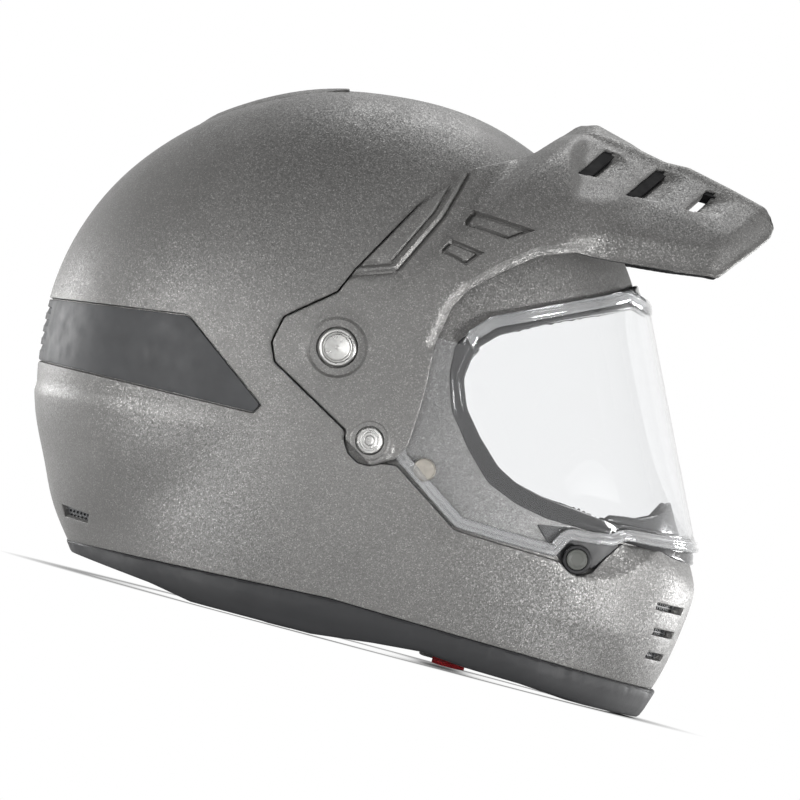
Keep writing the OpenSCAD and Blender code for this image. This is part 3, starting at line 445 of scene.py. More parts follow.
TRIM_BAND = [(-240, -128.7), (-108, -130.4), (28, -123.8), (199, -128.5), (260, -131), (260, -144),
    (168, -144), (140, -142), (108, -141), (82, -138.5), (56, -140.5), (24, -144), (-40, -144),
    (-63, -140), (-106, -136), (-240, -134)]
RECESS = [(-33.3, -5.9), (-30.4, 8.6), (-7.3, 27.6), (-1.5, 41), (20.3, 79.2), (38.8, 103.6), (56, 124),
    (90, 200), (300, 200), (300, -56.6), (205, -56.6), (167.2, -59.4), (164.6, -63.8), (154.6, -78),
    (146.6, -81.4), (139.6, -77.8), (134, -76.4), (105.3, -75.6), (80.8, -74.5), (73.9, -70.1),
    (44, -50.4), (36.6, -51.4), (31, -54.2), (24.5, -54.1), (18.5, -50.6), (15.2, -45.2), (14.4, -40),
    (-29.2, -15.4)]
LENS_EDGE = [(61, 17.7), (62.6, 25.5), (72.2, 35.5), (89, 43.4), (123, 59.5), (136.8, 66.8),
    (147.2, 64.3), (170, 58.8), (235, -52.2), (204.5, -54.5), (167.2, -57.5), (161.4, -61.7),
    (149, -63.6), (139.6, -64.2), (137.4, -68.1), (134.2, -74.4), (105.3, -73.9), (81.2, -72.8),
    (74.8, -68.7), (42.6, -47), (38.5, -36), (30, -24), (12, -18), (0, -21.8), (-11, -19), (-19, -11),
    (-22, 0), (-19, 11), (-11, 19), (0, 21.8), (12, 18.4)]
PLATE_EDGE = [(-32.5, -5.4), (-29.7, 8), (-6.8, 26.8), (-0.8, 40.6), (21.1, 78.6), (39.9, 102.7),
    (44.6, 106.6), (67.2, 118.4), (72, 122.3), (89.5, 141.4), (99.3, 150), (206, 150), (200.7, 117.5),
    (179.7, 89.7), (176.7, 88.9), (154.4, 85), (129.1, 81.4), (105.6, 78.2), (87.1, 71.2),
    (70.5, 57.8), (57, 45), (51.5, 34.6), (47.6, 14), (48.6, -3.6), (48.6, -20), (47.4, -38.4),
    (42.9, -47.2), (31.6, -53.6), (15.7, -44), (15.1, -39.2), (-28.6, -14.8)]
PANEL_EDGE = [(-240, -13.4), (-149, -13.4), (-78.9, -3.9), (-75.6, -4.6), (-30.2, -38.2),
    (-32.7, -42.5), (-146, -44.9), (-240, -44.9)]
NECK_SLOT = [(-115.7, -113.2), (-101, -114.4), (-100.4, -118.9), (-112.7, -118.7)]
FOAM_EDGE = [(-220, -98), (20, -98), (46, -60), (56, -20), (56, 18), (69, 36), (102, 53), (124, 64),
    (150, 82), (260, 160), (260, 260), (-220, 260)]
CHIN_FOAM_EDGE = [(118, -122), (120, -80), (140, -66), (170, -62), (260, -62), (260, -125), (199, -125)]
GUARD_EDGE = [(153, -50.1), (156, -46.8), (171.9, -45.1), (179, -41.6), (183.5, -33.1),
    (188, -41), (193, -48), (215, -49), (215, -50.2)]
LATCH_EDGE = [(120.7, -60.8), (129.7, -70.1), (138.5, -76), (145, -78), (151, -75.8), (155, -75.5),
    (163.8, -63.4), (163.6, -58.5), (140, -57.8)]
MARKS = [[(49, 85.2), (82.2, 83.2), (69.8, 74.7), (45.4, 76.6)],
    [(41.9, 67.9), (60, 65.6), (52.6, 56.8), (37, 60.2)]]
CHIN_SLOTS = [(-85.5, 29, 57), (-98.5, 29, 53), (-111, 29, 49)]
# Each louvre's low and high end, and the far side of its ramp
LOUVRES = [[(95.8, 117.6), (105.9, 132.5), (123.5, 133.6), (114.7, 117.1)],
    [(122, 113), (134.1, 130), (151, 130.5), (139.5, 113)],
    [(153.2, 113.8), (161.6, 126.1), (178.9, 126.7), (170.5, 113.2)]]
# Cross sections of the hood, each from the middle to the side: how far along, then pairs of y and z
HOOD = [[66, (0, 112), (18, 110), (40, 96), (58, 76), (70, 50)],
    [72, (0, 121), (18, 118.5), (42, 104), (62, 84), (78, 60)],
    [90, (0, 141.2), (18, 137.6), (54, 117), (78, 98), (96, 70)],
    [99.3, (0, 144.4), (18, 140.4), (58, 115.6), (81, 97.5), (95, 74)],
    [118, (0, 139.6), (18, 138.4), (60, 113), (79, 98.5), (91, 79)],
    [137.4, (0, 133), (18, 134.6), (59, 111), (76, 97), (87, 80)],
    [150, (0, 131), (18, 135), (58.5, 110), (74, 95.5), (85, 81)],
    [175, (0, 126), (18, 129.6), (57, 106.5), (71, 93.5), (81, 83)],
    [207, (0, 118), (18, 121.6), (54, 101), (67, 89), (77, 79)]]
# The hood's roof, which the arms keep under: how far along, its ridge, then how far out and how high it ends
ROOF = [(78, 150, 95, 132), (97, 140.4, 91, 101), (118, 138.6, 84, 100), (137.4, 134.8, 79.5, 98),
    (215, 120, 76, 86)]


class PeakSkin:
    """The peak's outside: its side arms and its hood in one. The map is x and the way up to the middle line."""

    def __init__(self):
        self.xs = np.arange(-44, 207.01, 1.5)
        self.vs = np.arange(0, 275.01, 1.0)
        rows = []
        for x in self.xs:
            line = self.section(x)
            run = np.concatenate([[0], np.cumsum(np.linalg.norm(np.diff(line, axis=0), axis=1))])
            rows.append(np.stack([np.interp(self.vs, run, c) for c in line.T], 1))
        self.table = np.array(rows)
        back, front, high = self.xs[0], self.xs[-1], self.vs[-1]
        self.limit = np.array([(x, 0) for x in np.linspace(back, front, 101)] + [(front, -high), (back, -high)])

    def arm(self, x, z):
        """How wide the side arm is, kept under the roof."""
        arm = pillow_y(np.full(len(z), x), z, PEAK_R, PEAK_WIDTH)
        arm = np.where(arm > 0, arm, -40)
        if x < 78:
            return arm
        at, ridge, out, low = np.array(ROOF, float).T
        ridge, out, low = [np.interp(x, at, c) for c in (ridge, out, low)]
        roof = 18 + (ridge - z) * (out - 18) / (ridge - low)
        roof = np.where(z > ridge, -40, roof)
        return np.minimum(arm, roof) - np.clip(3 - np.abs(arm - roof), 0, None) ** 2 / 12

    def section(self, x):
        """The cross section at x from the middle line down, as y and z."""
        hood = np.array([[c for pair in s[1:] for c in pair] for s in HOOD], float)
        at = np.array([s[0] for s in HOOD], float)
        h = np.array([np.interp(x, at, c) for c in hood.T]).reshape(-1, 2)
        fade = max(0.0, 66 - x) * 1.5
        edge = np.arange(60, 160, 0.1)
        arm_top = edge[self.arm(x, edge) > 0]
        arm_top = arm_top[-1] if len(arm_top) else 60
        ridge = x < 92 or x < 112 and arm_top > h[0, 1]
        top = max(arm_top, h[0, 1]) if ridge else h[1, 1] - 0.3
        u = np.linspace(0, 1, 300)
        z = top - (top + 90) * u ** (2 if ridge else 1)
        knots_z = np.r_[h[4, 1] - 60, h[:0:-1, 1]]
        knots_y = np.r_[h[4, 0] + 1, h[:0:-1, 0]]
        if ridge:
            knots_z, knots_y = np.r_[knots_z, h[0, 1], h[0, 1] + 5], np.r_[knots_y, 0, -12]
        side = np.interp(z, knots_z, knots_y)
        side = blurred(side, 4) - fade
        side = np.where(z < h[4, 1] - 6, side - 1.5 * (h[4, 1] - 6 - z), side)
        arm = self.arm(x, z)
        k = 3.0
        y = np.maximum(side, arm) + np.clip(k - np.abs(side - arm), 0, None) ** 2 / (4 * k)
        flank = np.stack([np.maximum(y, 0), z], 1)
        if ridge:
            return np.concatenate([[(0, top + 0.2)], flank])
        t = np.linspace(0, 1, 16)[1:]
        crown = np.stack([18 * t, h[0, 1] + (h[1, 1] - h[0, 1]) * np.clip(t * t * (2.1 - 1.1 * t), 0, 1)], 1)
        return np.concatenate([[(0, h[0, 1])], crown, flank])

    def base(self, m):
        i = np.clip((m[:, 0] - self.xs[0]) / 1.5, 0, len(self.xs) - 1.001)
        j = np.clip(-m[:, 1], 0, len(self.vs) - 1.001)
        a, b = i.astype(int), j.astype(int)
        u, v = (i - a)[:, None], (j - b)[:, None]
        t = self.table
        yz = ((1 - u) * (1 - v) * t[a, b] + u * (1 - v) * t[a + 1, b]
              + (1 - u) * v * t[a, b + 1] + u * v * t[a + 1, b + 1])
        sign = np.where(m[:, 1] > 0, 1, -1)
        return np.stack([m[:, 0], yz[:, 0] * sign, yz[:, 1]], 1)

    def to_map(self, side):
        out = []
        for x, z in np.asarray(side, float):
            i = np.clip((x - self.xs[0]) / 1.5, 0, len(self.xs) - 1.001)
            a = int(i)
            line = (1 - i + a) * self.table[a] + (i - a) * self.table[a + 1]
            top = int(np.argmax(line[:, 1]))
            if z >= line[top, 1]:
                out.append((x, z - line[top, 1] + 0.5))
            else:
                out.append((x, -np.interp(-z, -line[top:, 1], self.vs[top:])))
        return np.array(out)

    def snap(self, m):
        mid = np.abs(m[:, 1]) < NEAR_MIDDLE
        m[mid, 1] = 0
        return m, mid


# Helpers for pieces
def round_spot(side, spot):
    return np.hypot(side[:, 0] - spot[0], side[:, 1] - spot[1])


def band(d, start, end, soft=0.4):
    """1 where a distance is between start and end, with soft sides."""
    return ramp(d - start, soft) * (1 - ramp(d - end + soft, soft))


def signed(points, loop):
    """The distance inside a closed line; below 0 outside it."""
    d = to_line(points, loop)
    return np.where(inside(points, loop), d, -d)


def joined(name, objs):
    only(objs[0])
    for o in objs[1:]:
        o.select_set(True)
    bpy.ops.object.join()
    objs[0].name = name
    return objs[0]


def make_turned(name, kind=None, ways=(-1, 1)):
    """A turned piece of the TURNED list, or a pair: its outline spun about a line along Y."""
    spot, out, steps, profile = TURNED[kind or name]
    made = []
    for way in ways:
        flat = [(spot[0] + r, way * (out + d), spot[1]) for r, d in profile]
        obj = mesh_object(name, flat, [], [(i, (i + 1) % len(flat)) for i in range(len(flat))])
        weld(obj, {"steps": steps, "center": in_metres([spot[0], 0, spot[1]])})
        made.append(obj)
    obj = joined(name, made)
    smooth(obj, 30)
    return obj


def grid_solid(name, rows, ends="flat"):
    """A closed body from closed rows of points. Its ends are flat, folded like a pillow's, or joined."""
    p = np.array(rows, float)
    n, m = p.shape[:2]
    faces = []
    for i in range(n if ends == "joined" else n - 1):
        for j in range(m):
            here, there, k = i * m, (i + 1) % n * m, (j + 1) % m
            faces.append([here + j, here + k, there + k, there + j])
    for i in (0, n - 1):
        row = list(range(i * m, i * m + m))
        folds = [[row[j], row[j + 1], row[m - 2 - j], row[m - 1 - j]] for j in range(m // 2 - 1)]
        caps = {"flat": [row], "folded": folds, "joined": []}[ends]
        faces += [cap if (i == 0) == (ends == "folded") else cap[::-1] for cap in caps]
    obj = mesh_object(name, p.reshape(-1, 3), faces)
    weld(obj)
    smooth(obj, 60, weighted=False)
    return obj


def settle(obj, body, slot, material, *nodes, inside=None):
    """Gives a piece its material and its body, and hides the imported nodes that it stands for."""
    obj.data.materials.append(material)
    if inside:
        obj.data.materials.append(inside)
    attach(obj, body)
    if nodes:
        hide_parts(*nodes)
    return obj


# Painted shell
CREASE = [(120, -102.4), (134, -102.8), (163.9, -103.4), (179.3, -103.5), (189.7, -98.7), (200.2, -82.2),
    (206.4, -71.5)]
SCOOP = [(135.6, -76.4), (141.8, -79.6), (148.0, -81.1), (154.8, -80.9), (162.2, -78.9), (170.0, -74.2),
    (177.6, -66.9), (182.1, -59.9), (200, -45), (160, -40)]
LEDGE = [(-160, -56.6), (-146, -55.6), (-100, -53.0), (-50, -48.6), (-8, -45.6)]


def view_loop(skin, y0, y1, z0, z1, low, high, step=1.2):
    """A four cornered opening given in the front or back view, on a skin's map."""
    corners = dense([(y0, z0), (y1, z0), (y1, z1), (y0, z1)], step)
    return on_map(skin.from_view(corners[:, 0], corners[:, 1], 1, low, high))


def make_shell():
    skin = Skin(SHELL_R, SHELL_WIDTH)
    recess = dense(RECESS, soft=1.0)
    panel = dense(PANEL_EDGE, soft=0.8)
    seat = [offset(panel, -0.9), offset(panel, -0.4)]
    crease = dense(CREASE, closed=False)
    ledge = dense(LEDGE, 3, closed=False)
    scoop = dense(SCOOP, soft=0.8)

    def rise(side, m):
        """The panel's seat, the ledge behind it, the chin's crease, and the hollows round the latch."""
        x, z = side.T
        out = -1.8 * ramp(signed(side, seat[0]), 0.5)
        below = np.interp(x, ledge[:, 0], ledge[:, 1]) - z
        out += 1.3 * ramp(-8 - x, 70) * (ramp(below, 5) - ramp(below - 14, 34))
        near = to_line(side, crease, closed=False)
        under = z < np.interp(x, crease[:, 0], crease[:, 1])
        under |= (x > 189) & (x - 189.7 > (z + 98.7) * 0.6)
        fold = np.where(under, 1.6 - 3.6 * np.clip(near / 34, 0, 1), 1.6 * (1 - np.clip(near / 40, 0, 1)))
        out += fold * ramp(x - 100, 50)
        above = signed(side, scoop)
        out -= 3.0 * np.clip(above / 9, 0, 1) + 0.5 * ramp(above, 0.8)
        return out - 0.5 * (1 - ramp(round_spot(side, LATCH) - 7.6, 0.8))

    def shape(side, m, top, bottom, normal):
        """Lowers the recess under the shield to its floor, with a sharp step round it."""
        d = signed(side, recess)
        floor = pillow_y(*side.T, FLOOR_R, FLOOR_WIDTH)
        floor = np.where(floor > 0, floor, 1e3)
        high = np.abs(top[:, 1])
        y = high + (np.minimum(high, floor) - high) * ramp(d, 0.7)
        y = y - 0.5 * (1 - ramp(-d, 0.9)) * (d < 0) * (high > floor)
        top[:, 1] = np.sign(top[:, 1]) * y
        deep = np.minimum(np.abs(bottom[:, 1]), np.where(d > -5, floor - 3.4, 1e3))
        bottom[:, 1] = np.sign(bottom[:, 1]) * np.maximum(deep, 0)
        return top, bottom

    cut = [dense(EYE_PORT, soft=2)]
    cut += [view_loop(skin, -y1, -y0, z - 1.8, z + 1.8, -60, -12) for z, y0, y1 in CHIN_SLOTS]
    cut.append(dense(NECK_SLOT, 1.2))
    cut.append(ring(*LATCH, 7.35))
    lines = [recess, offset(recess, 0.7), offset(recess, -0.9), scoop] + seat + [open_line(crease)]
    obj = sheet("painted_shell", skin, [dense(ABOVE_RIM, 2.5)], cut, thick=SHELL_WALL, edge=0.7, cell=3.6,
                lines=lines, rise=rise, shape=shape)
    smooth(obj, 40)
    return obj


def make_rear_panel():
    skin = Skin(SHELL_R - 0.2, SHELL_WIDTH - 0.2)
    levels = (-19, -25.5, -32, -38.5)
    slots = [view_loop(skin, -30, 8, z - 1.6, z + 1.8, 150, 215) for z in levels]
    inner = [on_map(offset(slot, 0.5)) for slot in slots]

    def rise(side, m):
        out = np.zeros(len(m))
        for z, slot in zip(levels, slots):
            out -= 1.1 * ramp(signed(m, slot), 0.5) * np.clip((side[:, 1] - z + 2.4) / 4.2, 0.2, 1)
        return out

    obj = sheet("rear_wrap_panel", skin, [dense(PANEL_EDGE, soft=0.8)], thick=1.55, lines=slots + inner, rise=rise)
    smooth(obj, 40)
    return obj


def make_crown_cover():
    skin = Skin(SHELL_R + 1.3, SHELL_WIDTH + 1.3)
    plan = dense([(-28, -16), (-60, -22), (-92, -12), (-99, 0), (-99, 9), (-28, 9)], 1.5, soft=1.5)
    loop = on_map(skin.from_view(plan[:, 1], plan[:, 0], 0, 50, 165))
    inner = [on_map(offset(loop, d)) for d in (4, 8)]

    def rise(side, m):
        return -1.15 * ramp(-30 - side[:, 0], 12) * (1 - ramp(signed(m, loop), 9))

    obj = sheet("crown_vent_cover", skin, [loop], edge=0.9, cell=3, lines=inner, rise=rise,
                under=lambda side, m, lift: 1.25 + 0.2 * (lift < -0.6))
    smooth(obj, 40)
    return obj


def make_rim_trim():
    skin = Skin(SHELL_R + 0.7, SHELL_WIDTH + 0.7)

    def rise(side, m):
        top = np.interp(side[:, 0], [-240, -108, 28, 199, 280], [-128.7, -130.4, -123.8, -128.5, -131.5])
        d = top - side[:, 1]
        return -0.9 * band(d, 0.9, 2.2, 0.5) - 0.5 * ramp(d - 10, 5)

    def shape(side, m, top, bottom, normal):
        return top, top - unit(normal * [1, 1, 0]) * 14

    obj = sheet("edge_trim", skin, [dense(TRIM_BAND, 2.0, soft=0.8)], edge=1.6, cell=3.4, rise=rise, shape=shape)
    smooth(obj, 40)
    return obj


def make_gasket():
    skin = Skin(FLOOR_R + 1.1, FLOOR_WIDTH + 1.1)
    hole = dense(GASKET_HOLE, soft=2.2)

    def rise(side, m):
        d = to_line(side, hole)
        return 0.35 * band(d, 0.4, 2.4, 0.8) - 0.5 * band(d, 3.0, 4.4, 0.5) - 0.7 * ramp(d - 5.5, 2.5)

    creases = [offset(hole, -g) for g in (0.4, 1.4, 2.4, 3.0, 3.7, 4.4, 5.5, 8)]

    def under(side, m, lift):
        return 5.5 + 8.0 * (1 - ramp(to_line(side, hole) - 1.5, 3))

    obj = sheet("port_seal", skin, [dense(GASKET_EDGE, soft=2.2)], [hole], edge=1.2, cell=3, lines=creases,
                rise=rise, under=under)
    smooth(obj, 45)
    return obj


# The shield's lower and upper edges, and where its thick edge band runs beside each
LENS_FOOT = LENS_EDGE[19:8:-1] + [(240, -52.5)]
LENS_BROW = LENS_EDGE[:8]
BROW_ZONE = [(62, 22), (68, 15), (250, 40), (250, 120), (62, 120)]
FOOT_ZONE = [(41, -46), (47, -40), (90, -60), (250, -40), (250, -120), (41, -120)]


def make_lens():
    skin = Skin(LENS_R, LENS_WIDTH)
    edge = dense(LENS_EDGE, 1.2, soft=1.0)
    foot = dense(LENS_FOOT, 1.4, closed=False)
    brow = dense(LENS_BROW, 1.4, closed=False)

    def tube(d, start, wide):
        return np.sin(np.pi * np.clip((d - start) / wide, 0, 1)) ** 0.7

    def tubes(side, high):
        """The moulded ridges: two along the foot and one along the brow."""
        d, t = [to_line(side, line, closed=False) for line in (foot, brow)]
        return high * np.maximum(tube(d, 0.3, 2.5) + tube(d, 3.3, 2.5), tube(t, 0.3, 5.4))

    def rise(side, m):
        return tubes(side, 0.4) - 0.7 * (1 - ramp(round_spot(side, SNAP) - 6.2, 0.5))

    steps = [offset(edge, g) for g in (1.0, 1.6, 2.2, 2.8, 3.4, 4.0, 4.6, 5.2, 5.8)]
    obj = sheet("clear_shield", skin, [edge], [ring(0, 0, 16.2, 64), ring(*SNAP, 3.05, 32)], edge=0.5, cell=3.6,
                lines=steps + [ring(*SNAP, 6.2), ring(*SNAP, 6.7)], rise=rise,
                under=lambda side, m, lift: LENS_WALL + lift)
    smooth(obj, 45)
    proud = Skin(LENS_R + 0.45, LENS_WIDTH + 0.45)
    # The proud strip along the shield's brow and foot has real ridges, and its milky light colour is a painted
    # highlight
    rim = joined("shield_edge_band", [sheet("shield_edge_strip", proud, [offset(edge, 0.25), dense(zone, 1.2)],
        [offset(edge, 6.0)], edge=0.2, cell=3, lines=steps, rise=lambda side, m: tubes(side, 0.9),
        under=lambda side, m, lift: 0.4 + 0.3 * lift) for zone in (BROW_ZONE, FOOT_ZONE)])
    smooth(rim, 45)
    return obj, rim


def louvre_depth(side, quad, loop):
    """How deep a louvre's ramp is: deepest along its low edge, and level with the hood at the far side."""
    a, b, c, d = np.array(quad, float)
    across = unit(b - a)[::-1] * [1, -1]
    run = np.abs((side - a) @ across) / abs((d - a) @ across)
    walls = ramp(to_line(side, [b, c], closed=False), 4.5) * ramp(to_line(side, [a, d], closed=False), 2.0)
    return 5.0 * ramp(signed(side, loop), 0.45) * walls * np.clip(1 - run, 0, 1) ** 1.1


def louvre_strip(quad, start, end, near, far):
    """A strip along a louvre's low edge: from and to where along it, and how far to each side."""
    a, b, _, d = np.array(quad, float)
    run, way = b - a, unit(d - a)
    return dense([a + run * start + way * near, a + run * end + way * near, a + run * end + way * far,
        a + run * start + way * far], 1.2)


def make_peak():
    skin = PeakSkin()
    edge = dense(PLATE_EDGE, 1.4, soft=0.9)
    lower = dense([(206, 125)] + PLATE_EDGE[12:23], closed=False)
    front = dense([(204, 122)] + PLATE_EDGE[12:14], closed=False)
    step = dense([(-14, 33), (-0.8, 40.6), (17.7, 47.1), (33.1, 79.2), (40.1, 104.6)], closed=False)
    behind = np.concatenate([step, [(30, 120), (-40, 120), (-40, 20)]])
    louvres = [dense(q, 1.4) for q in LOUVRES]
    marks = [dense(q, 1.4, soft=0.5) for q in MARKS]

    def wide(side):
        """How wide the lower edge's bevel is: wider under the hood."""
        return 4.5 + 6.0 * ramp(side[:, 0] - 96, 24)

    def rise(side, m):
        """The louvres' ramps, the marks' grooves, the bevels, the step beside the arm and the screws' seats."""
        out = -sum(louvre_depth(side, quad, loop) for quad, loop in zip(LOUVRES, louvres))
        for d in (signed(side, mark) for mark in marks):
            out -= 2.3 * ramp(d, 0.5) - 1.7 * ramp(d - 1.4, 1.0)
        low = to_line(side, lower, closed=False)
        out -= (2.0 + 4.0 * ramp(side[:, 0] - 96, 30)) * (1 - np.clip((low - 2) / (wide(side) - 2), 0, 1))
        out -= 1.6 * (1 - np.clip(to_line(side, front, closed=False) / 6.5, 0, 1))
        inner = signed(side, behind)
        beside = to_line(side, step, closed=False) * np.sign(inner)
        out -= 0.5 * ramp(inner, 1.8)
        for middle, deep in ((2.3, 1.7), (-2.5, 2.0)):
            out -= deep * (1 - ramp(np.abs(beside - middle), 1.9))
        d, e = round_spot(side, BIG_SCREW), round_spot(side, SMALL_SCREW)
        out += 0.55 * band(d, 14.2, 18.5, 1.8)
        out -= 1.35 * (1 - ramp(d - 14.2, 1.4)) + 1.4 * (1 - ramp(d - 10.2, 0.5))
        level = pillow_y(*side.T, PEAK_R, PEAK_WIDTH)
        out += (LOW_PLATE_Y + 0.2 - level) * (1 - ramp(e - 11.2, 2.6)) + 0.35 * band(e, 11.0, 12.8, 0.8)
        return out - 0.7 * (1 - ramp(e - 9.4, 0.8)) - 1.5 * (1 - ramp(e - 7.0, 0.4))

    lines = louvres + [offset(q, 0.45) for q in louvres]
    lines += marks + [offset(q, g) for q in marks for g in (0.5, 1.4, 2.4)]
    lines += [ring(*BIG_SCREW, r, 72) for r in (9.8, 10.2, 10.7, 14.2, 15.0, 15.6, 16.4, 18.5)]
    lines += [ring(*SMALL_SCREW, r, 56) for r in (6.6, 7.0, 7.4, 9.4, 10.2, 11.2)]
    lines += [offset(edge, g) for g in (1.8, 2.8, 4.2)]
    away = unit(np.stack([-np.gradient(lower[:, 1]), np.gradient(lower[:, 0])], 1))
    bevel = lower - away * wide(lower)[:, None]
    lines.append(open_line(bevel[(bevel[:, 0] > 56) & (bevel[:, 0] < 186)]))
    lines += [open_line(step + [-1.2 * k, 0.6 * k]) for k in range(-3, 4)]
    cut = [louvre_strip(q, -0.01, 1, 0.3, 4.4) for q in LOUVRES]
    cut += [ring(*BIG_SCREW, 3.1, 24), ring(*SMALL_SCREW, 2.1, 24)]
    # Near-black sheets under the louvres' slits: painted shade, so that the slits read dark
    backs = [louvre_strip(q, start, 1.8, -2, 6.5) for q, start in zip(LOUVRES, (-0.35, -0.35, 0.85))]
    shade_sheets = joined("louvre_painted_shade_sheets", [sheet("louvre_painted_shade_sheet", skin, [back], thick=0.9, edge=0.0, cell=2.6,
        rise=lambda side, m: np.full(len(side), -5.2)) for back in backs])
    smooth(shade_sheets, 40)
    # The inside's faces take the second material, black plastic, as painted shade under the peak
    obj = sheet("peak_with_arms", skin, [edge], cut, edge=0.9, cell=2.6, lines=lines, rise=rise, inner_slot=True,
                under=lambda side, m, lift: np.maximum(PEAK_WALL, 1.6 - lift))
    # The rim wall under the hood is black like the inside, as painted shade
    for polygon in obj.data.polygons:
        x, _, z = np.array(polygon.center) / MM - PIVOT
        if polygon.loop_total == 4 and 104 < x < 178 and z < 92:
            if to_line(np.array([[x, z]]), lower, closed=False)[0] < 4:
                polygon.material_index = 1
    smooth(obj, 38)
    return obj, shade_sheets


def plain_sheet(name, inwards, loop, cut=(), angle=40, **how):
    """A sheet that follows the shell's own form, set inwards from it."""
    obj = sheet(name, Skin(SHELL_R - inwards, SHELL_WIDTH - inwards), [loop], cut, **how)
    smooth(obj, angle)
    return obj


def make_guard():
    obj = sheet("breath_deflector", Skin(GUARD_R, SHELL_WIDTH - 13.2), [dense(GUARD_EDGE, 1.2, soft=0.6)],
                thick=2.4, cell=2.4)
    smooth(obj, 45)
    return obj


def make_chin_grille():
    skin = Skin(SHELL_R - 4.3, SHELL_WIDTH - 4.3)
    cut = []
    for z, y0, y1 in CHIN_SLOTS:
        for row, shift in ((-0.95, 0), (0.95, 0.5)):
            for k in range(int((y1 - y0) / 2.1)):
                y = y0 + 1.2 + 2.1 * k + shift
                cut.append(view_loop(skin, -y - 1.5, -y, z + row - 0.7, z + row + 0.7, -60, -12, 0.8))
    keep = view_loop(skin, -58, -26, -114.6, -81.8, -60, -12)
    return plain_sheet("chin_mesh", 4.3, keep, cut, thick=1.3, edge=0.0, cell=3)


def make_neck_grille():
    holes = [ring(-113.2 + 1.9 * k + 0.9 * j, -116.9 + 2.0 * j, 0.72, 8) for k in range(7) for j in range(2)]
    return plain_sheet("neck_mesh", 2.4, offset(dense(NECK_SLOT, 1.2), -1.2), holes, thick=1.3, edge=0.0, cell=2)


def make_latch_plates():
    skin = Skin(FLOOR_R + 0.9, FLOOR_WIDTH + 0.9)
    obj = sheet("latch_surrounds", skin, [dense(LATCH_EDGE, 1.2, soft=0.6)], [ring(*LATCH, 7.4)], thick=0.85,
                edge=0.4, cell=2)
    smooth(obj, 40)
    return obj


def make_foam():
    recess = dense(RECESS, soft=1.0)

    def shape(side, m, top, bottom, normal):
        """Keeps the foam clear of the recess's floor."""
        floor = pillow_y(*side.T, FLOOR_R, FLOOR_WIDTH)
        limit = np.where((signed(side, recess) > -7) & (floor > 0), floor - 5, 1e3)
        top[:, 1] = np.sign(top[:, 1]) * np.maximum(np.minimum(np.abs(top[:, 1]), limit), 0)
        return top, bottom

    return plain_sheet("crushable_liner", 4.6, dense(FOAM_EDGE, 2.5, soft=3), thick=33.6, edge=2.5, cell=5,
        shape=shape)


def make_chin_foam():
    return plain_sheet("chin_liner", 6.2, dense(CHIN_FOAM_EDGE, 2.5, soft=3), [ring(*LATCH, 9.5, 36)], thick=10,
        edge=2.5)


# Turned pieces: the line that each stands on, how far out its zero is, the steps round it, and its closed
# outline as pairs of radius and distance further out
SNAP_Y = float(pillow_y(*SNAP, LENS_R, LENS_WIDTH))
LATCH_Y = float(pillow_y(*LATCH, SHELL_R, SHELL_WIDTH)) + 0.8
HANG_Y = float(pillow_y(*STRAP_PIVOT, SHELL_R - SHELL_WALL, SHELL_WIDTH - SHELL_WALL)) - 3.8
STRAP_Y = HANG_Y - 5.6
TURNED = {
    "wide_pivot_screws": (BIG_SCREW, PLATE_Y - 0.3, 72, [(0, -0.75), (0.7, -0.75), (0.9, -0.5), (6.3, -0.15),
        (6.6, -0.45), (6.9, -0.15), (7.5, -0.1), (7.7, -0.5), (8.0, -0.05), (8.9, -0.1), (9.6, -0.6),
        (9.9, -1.2), (9.9, -2.25), (3, -2.25), (3, -14.7), (0, -14.7)]),
    "low_side_screws": (SMALL_SCREW, LOW_PLATE_Y - 0.1, 64, [(0, -0.8), (0.6, -0.8), (0.8, -0.5), (2.2, -0.35),
        (2.4, -0.6), (2.7, -0.3), (4.0, -0.2), (4.2, -0.65), (4.9, -0.65), (5.1, -0.1), (6.2, 0),
        (6.75, -0.6), (6.75, -2.05), (2, -2.05), (2, -12.8), (0, -12.8)]),
    "shield_snap_discs": (SNAP, SNAP_Y, 64, [(0, 0.6), (4.9, 0.6), (5.1, 0.8), (5.5, 0.75), (5.9, 0.2),
        (5.9, -0.65), (3, -0.65), (3, -2.2), (0, -2.2)]),
    "latch_cups": (LATCH, LATCH_Y, 64, [(5.37, -0.6), (5.75, -0.05), (6.85, 0), (7.35, -0.5), (7.35, -9),
        (0, -9), (0, -6.3), (5.37, -6.3)]),
    "press_button": (LATCH, LATCH_Y, 64, [(0, 0.5), (1.6, 0.45), (3.0, 0.3), (3.5, 0.55), (4.2, 0.85),
        (4.8, 0.75), (5.25, 0.2), (5.25, -4.2), (0, -4.2)]),
    "strap_anchor_plates": (STRAP_PIVOT, HANG_Y, 48, [(2.5, -1.6), (6.8, -1.6), (7.4, -1.1), (7.4, -0.3),
        (6.9, 0), (5, 0), (5, 4.3), (2.5, 4.3)]),
    "strap_anchor_rivets": (STRAP_PIVOT, HANG_Y, 48, [(0, -8.6), (3.2, -8.6), (4.6, -8.1), (5, -7.5),
        (5, -7.1), (2.5, -7.1), (2.5, 4.3), (0, 4.3)]),
}


def make_small_screws():
    """The low screws, with a ring of small driving holes in each head."""
    obj = make_turned("low_side_screws")
    for hole in range(6):
        a = math.radians(60 * hole + 20)
        spot = SMALL_SCREW[0] + 5.9 * math.cos(a), SMALL_SCREW[1] + 5.9 * math.sin(a)
        for way in (-1, 1):
            bpy.ops.mesh.primitive_cylinder_add(vertices=16, radius=0.65 * MM, depth=10 * MM,
                location=in_metres([spot[0], way * (LOW_PLATE_Y + 4.2), spot[1]]), rotation=(math.pi / 2, 0, 0))
            tool = bpy.context.object
            only(obj)
            cut = obj.modifiers.new("driving hole", "BOOLEAN")
            cut.operation = "DIFFERENCE"
            cut.object = tool
            cut.solver = "EXACT"
            bpy.ops.object.modifier_apply(modifier=cut.name)
            bpy.data.objects.remove(tool)
        smooth(obj, 30)
    return obj


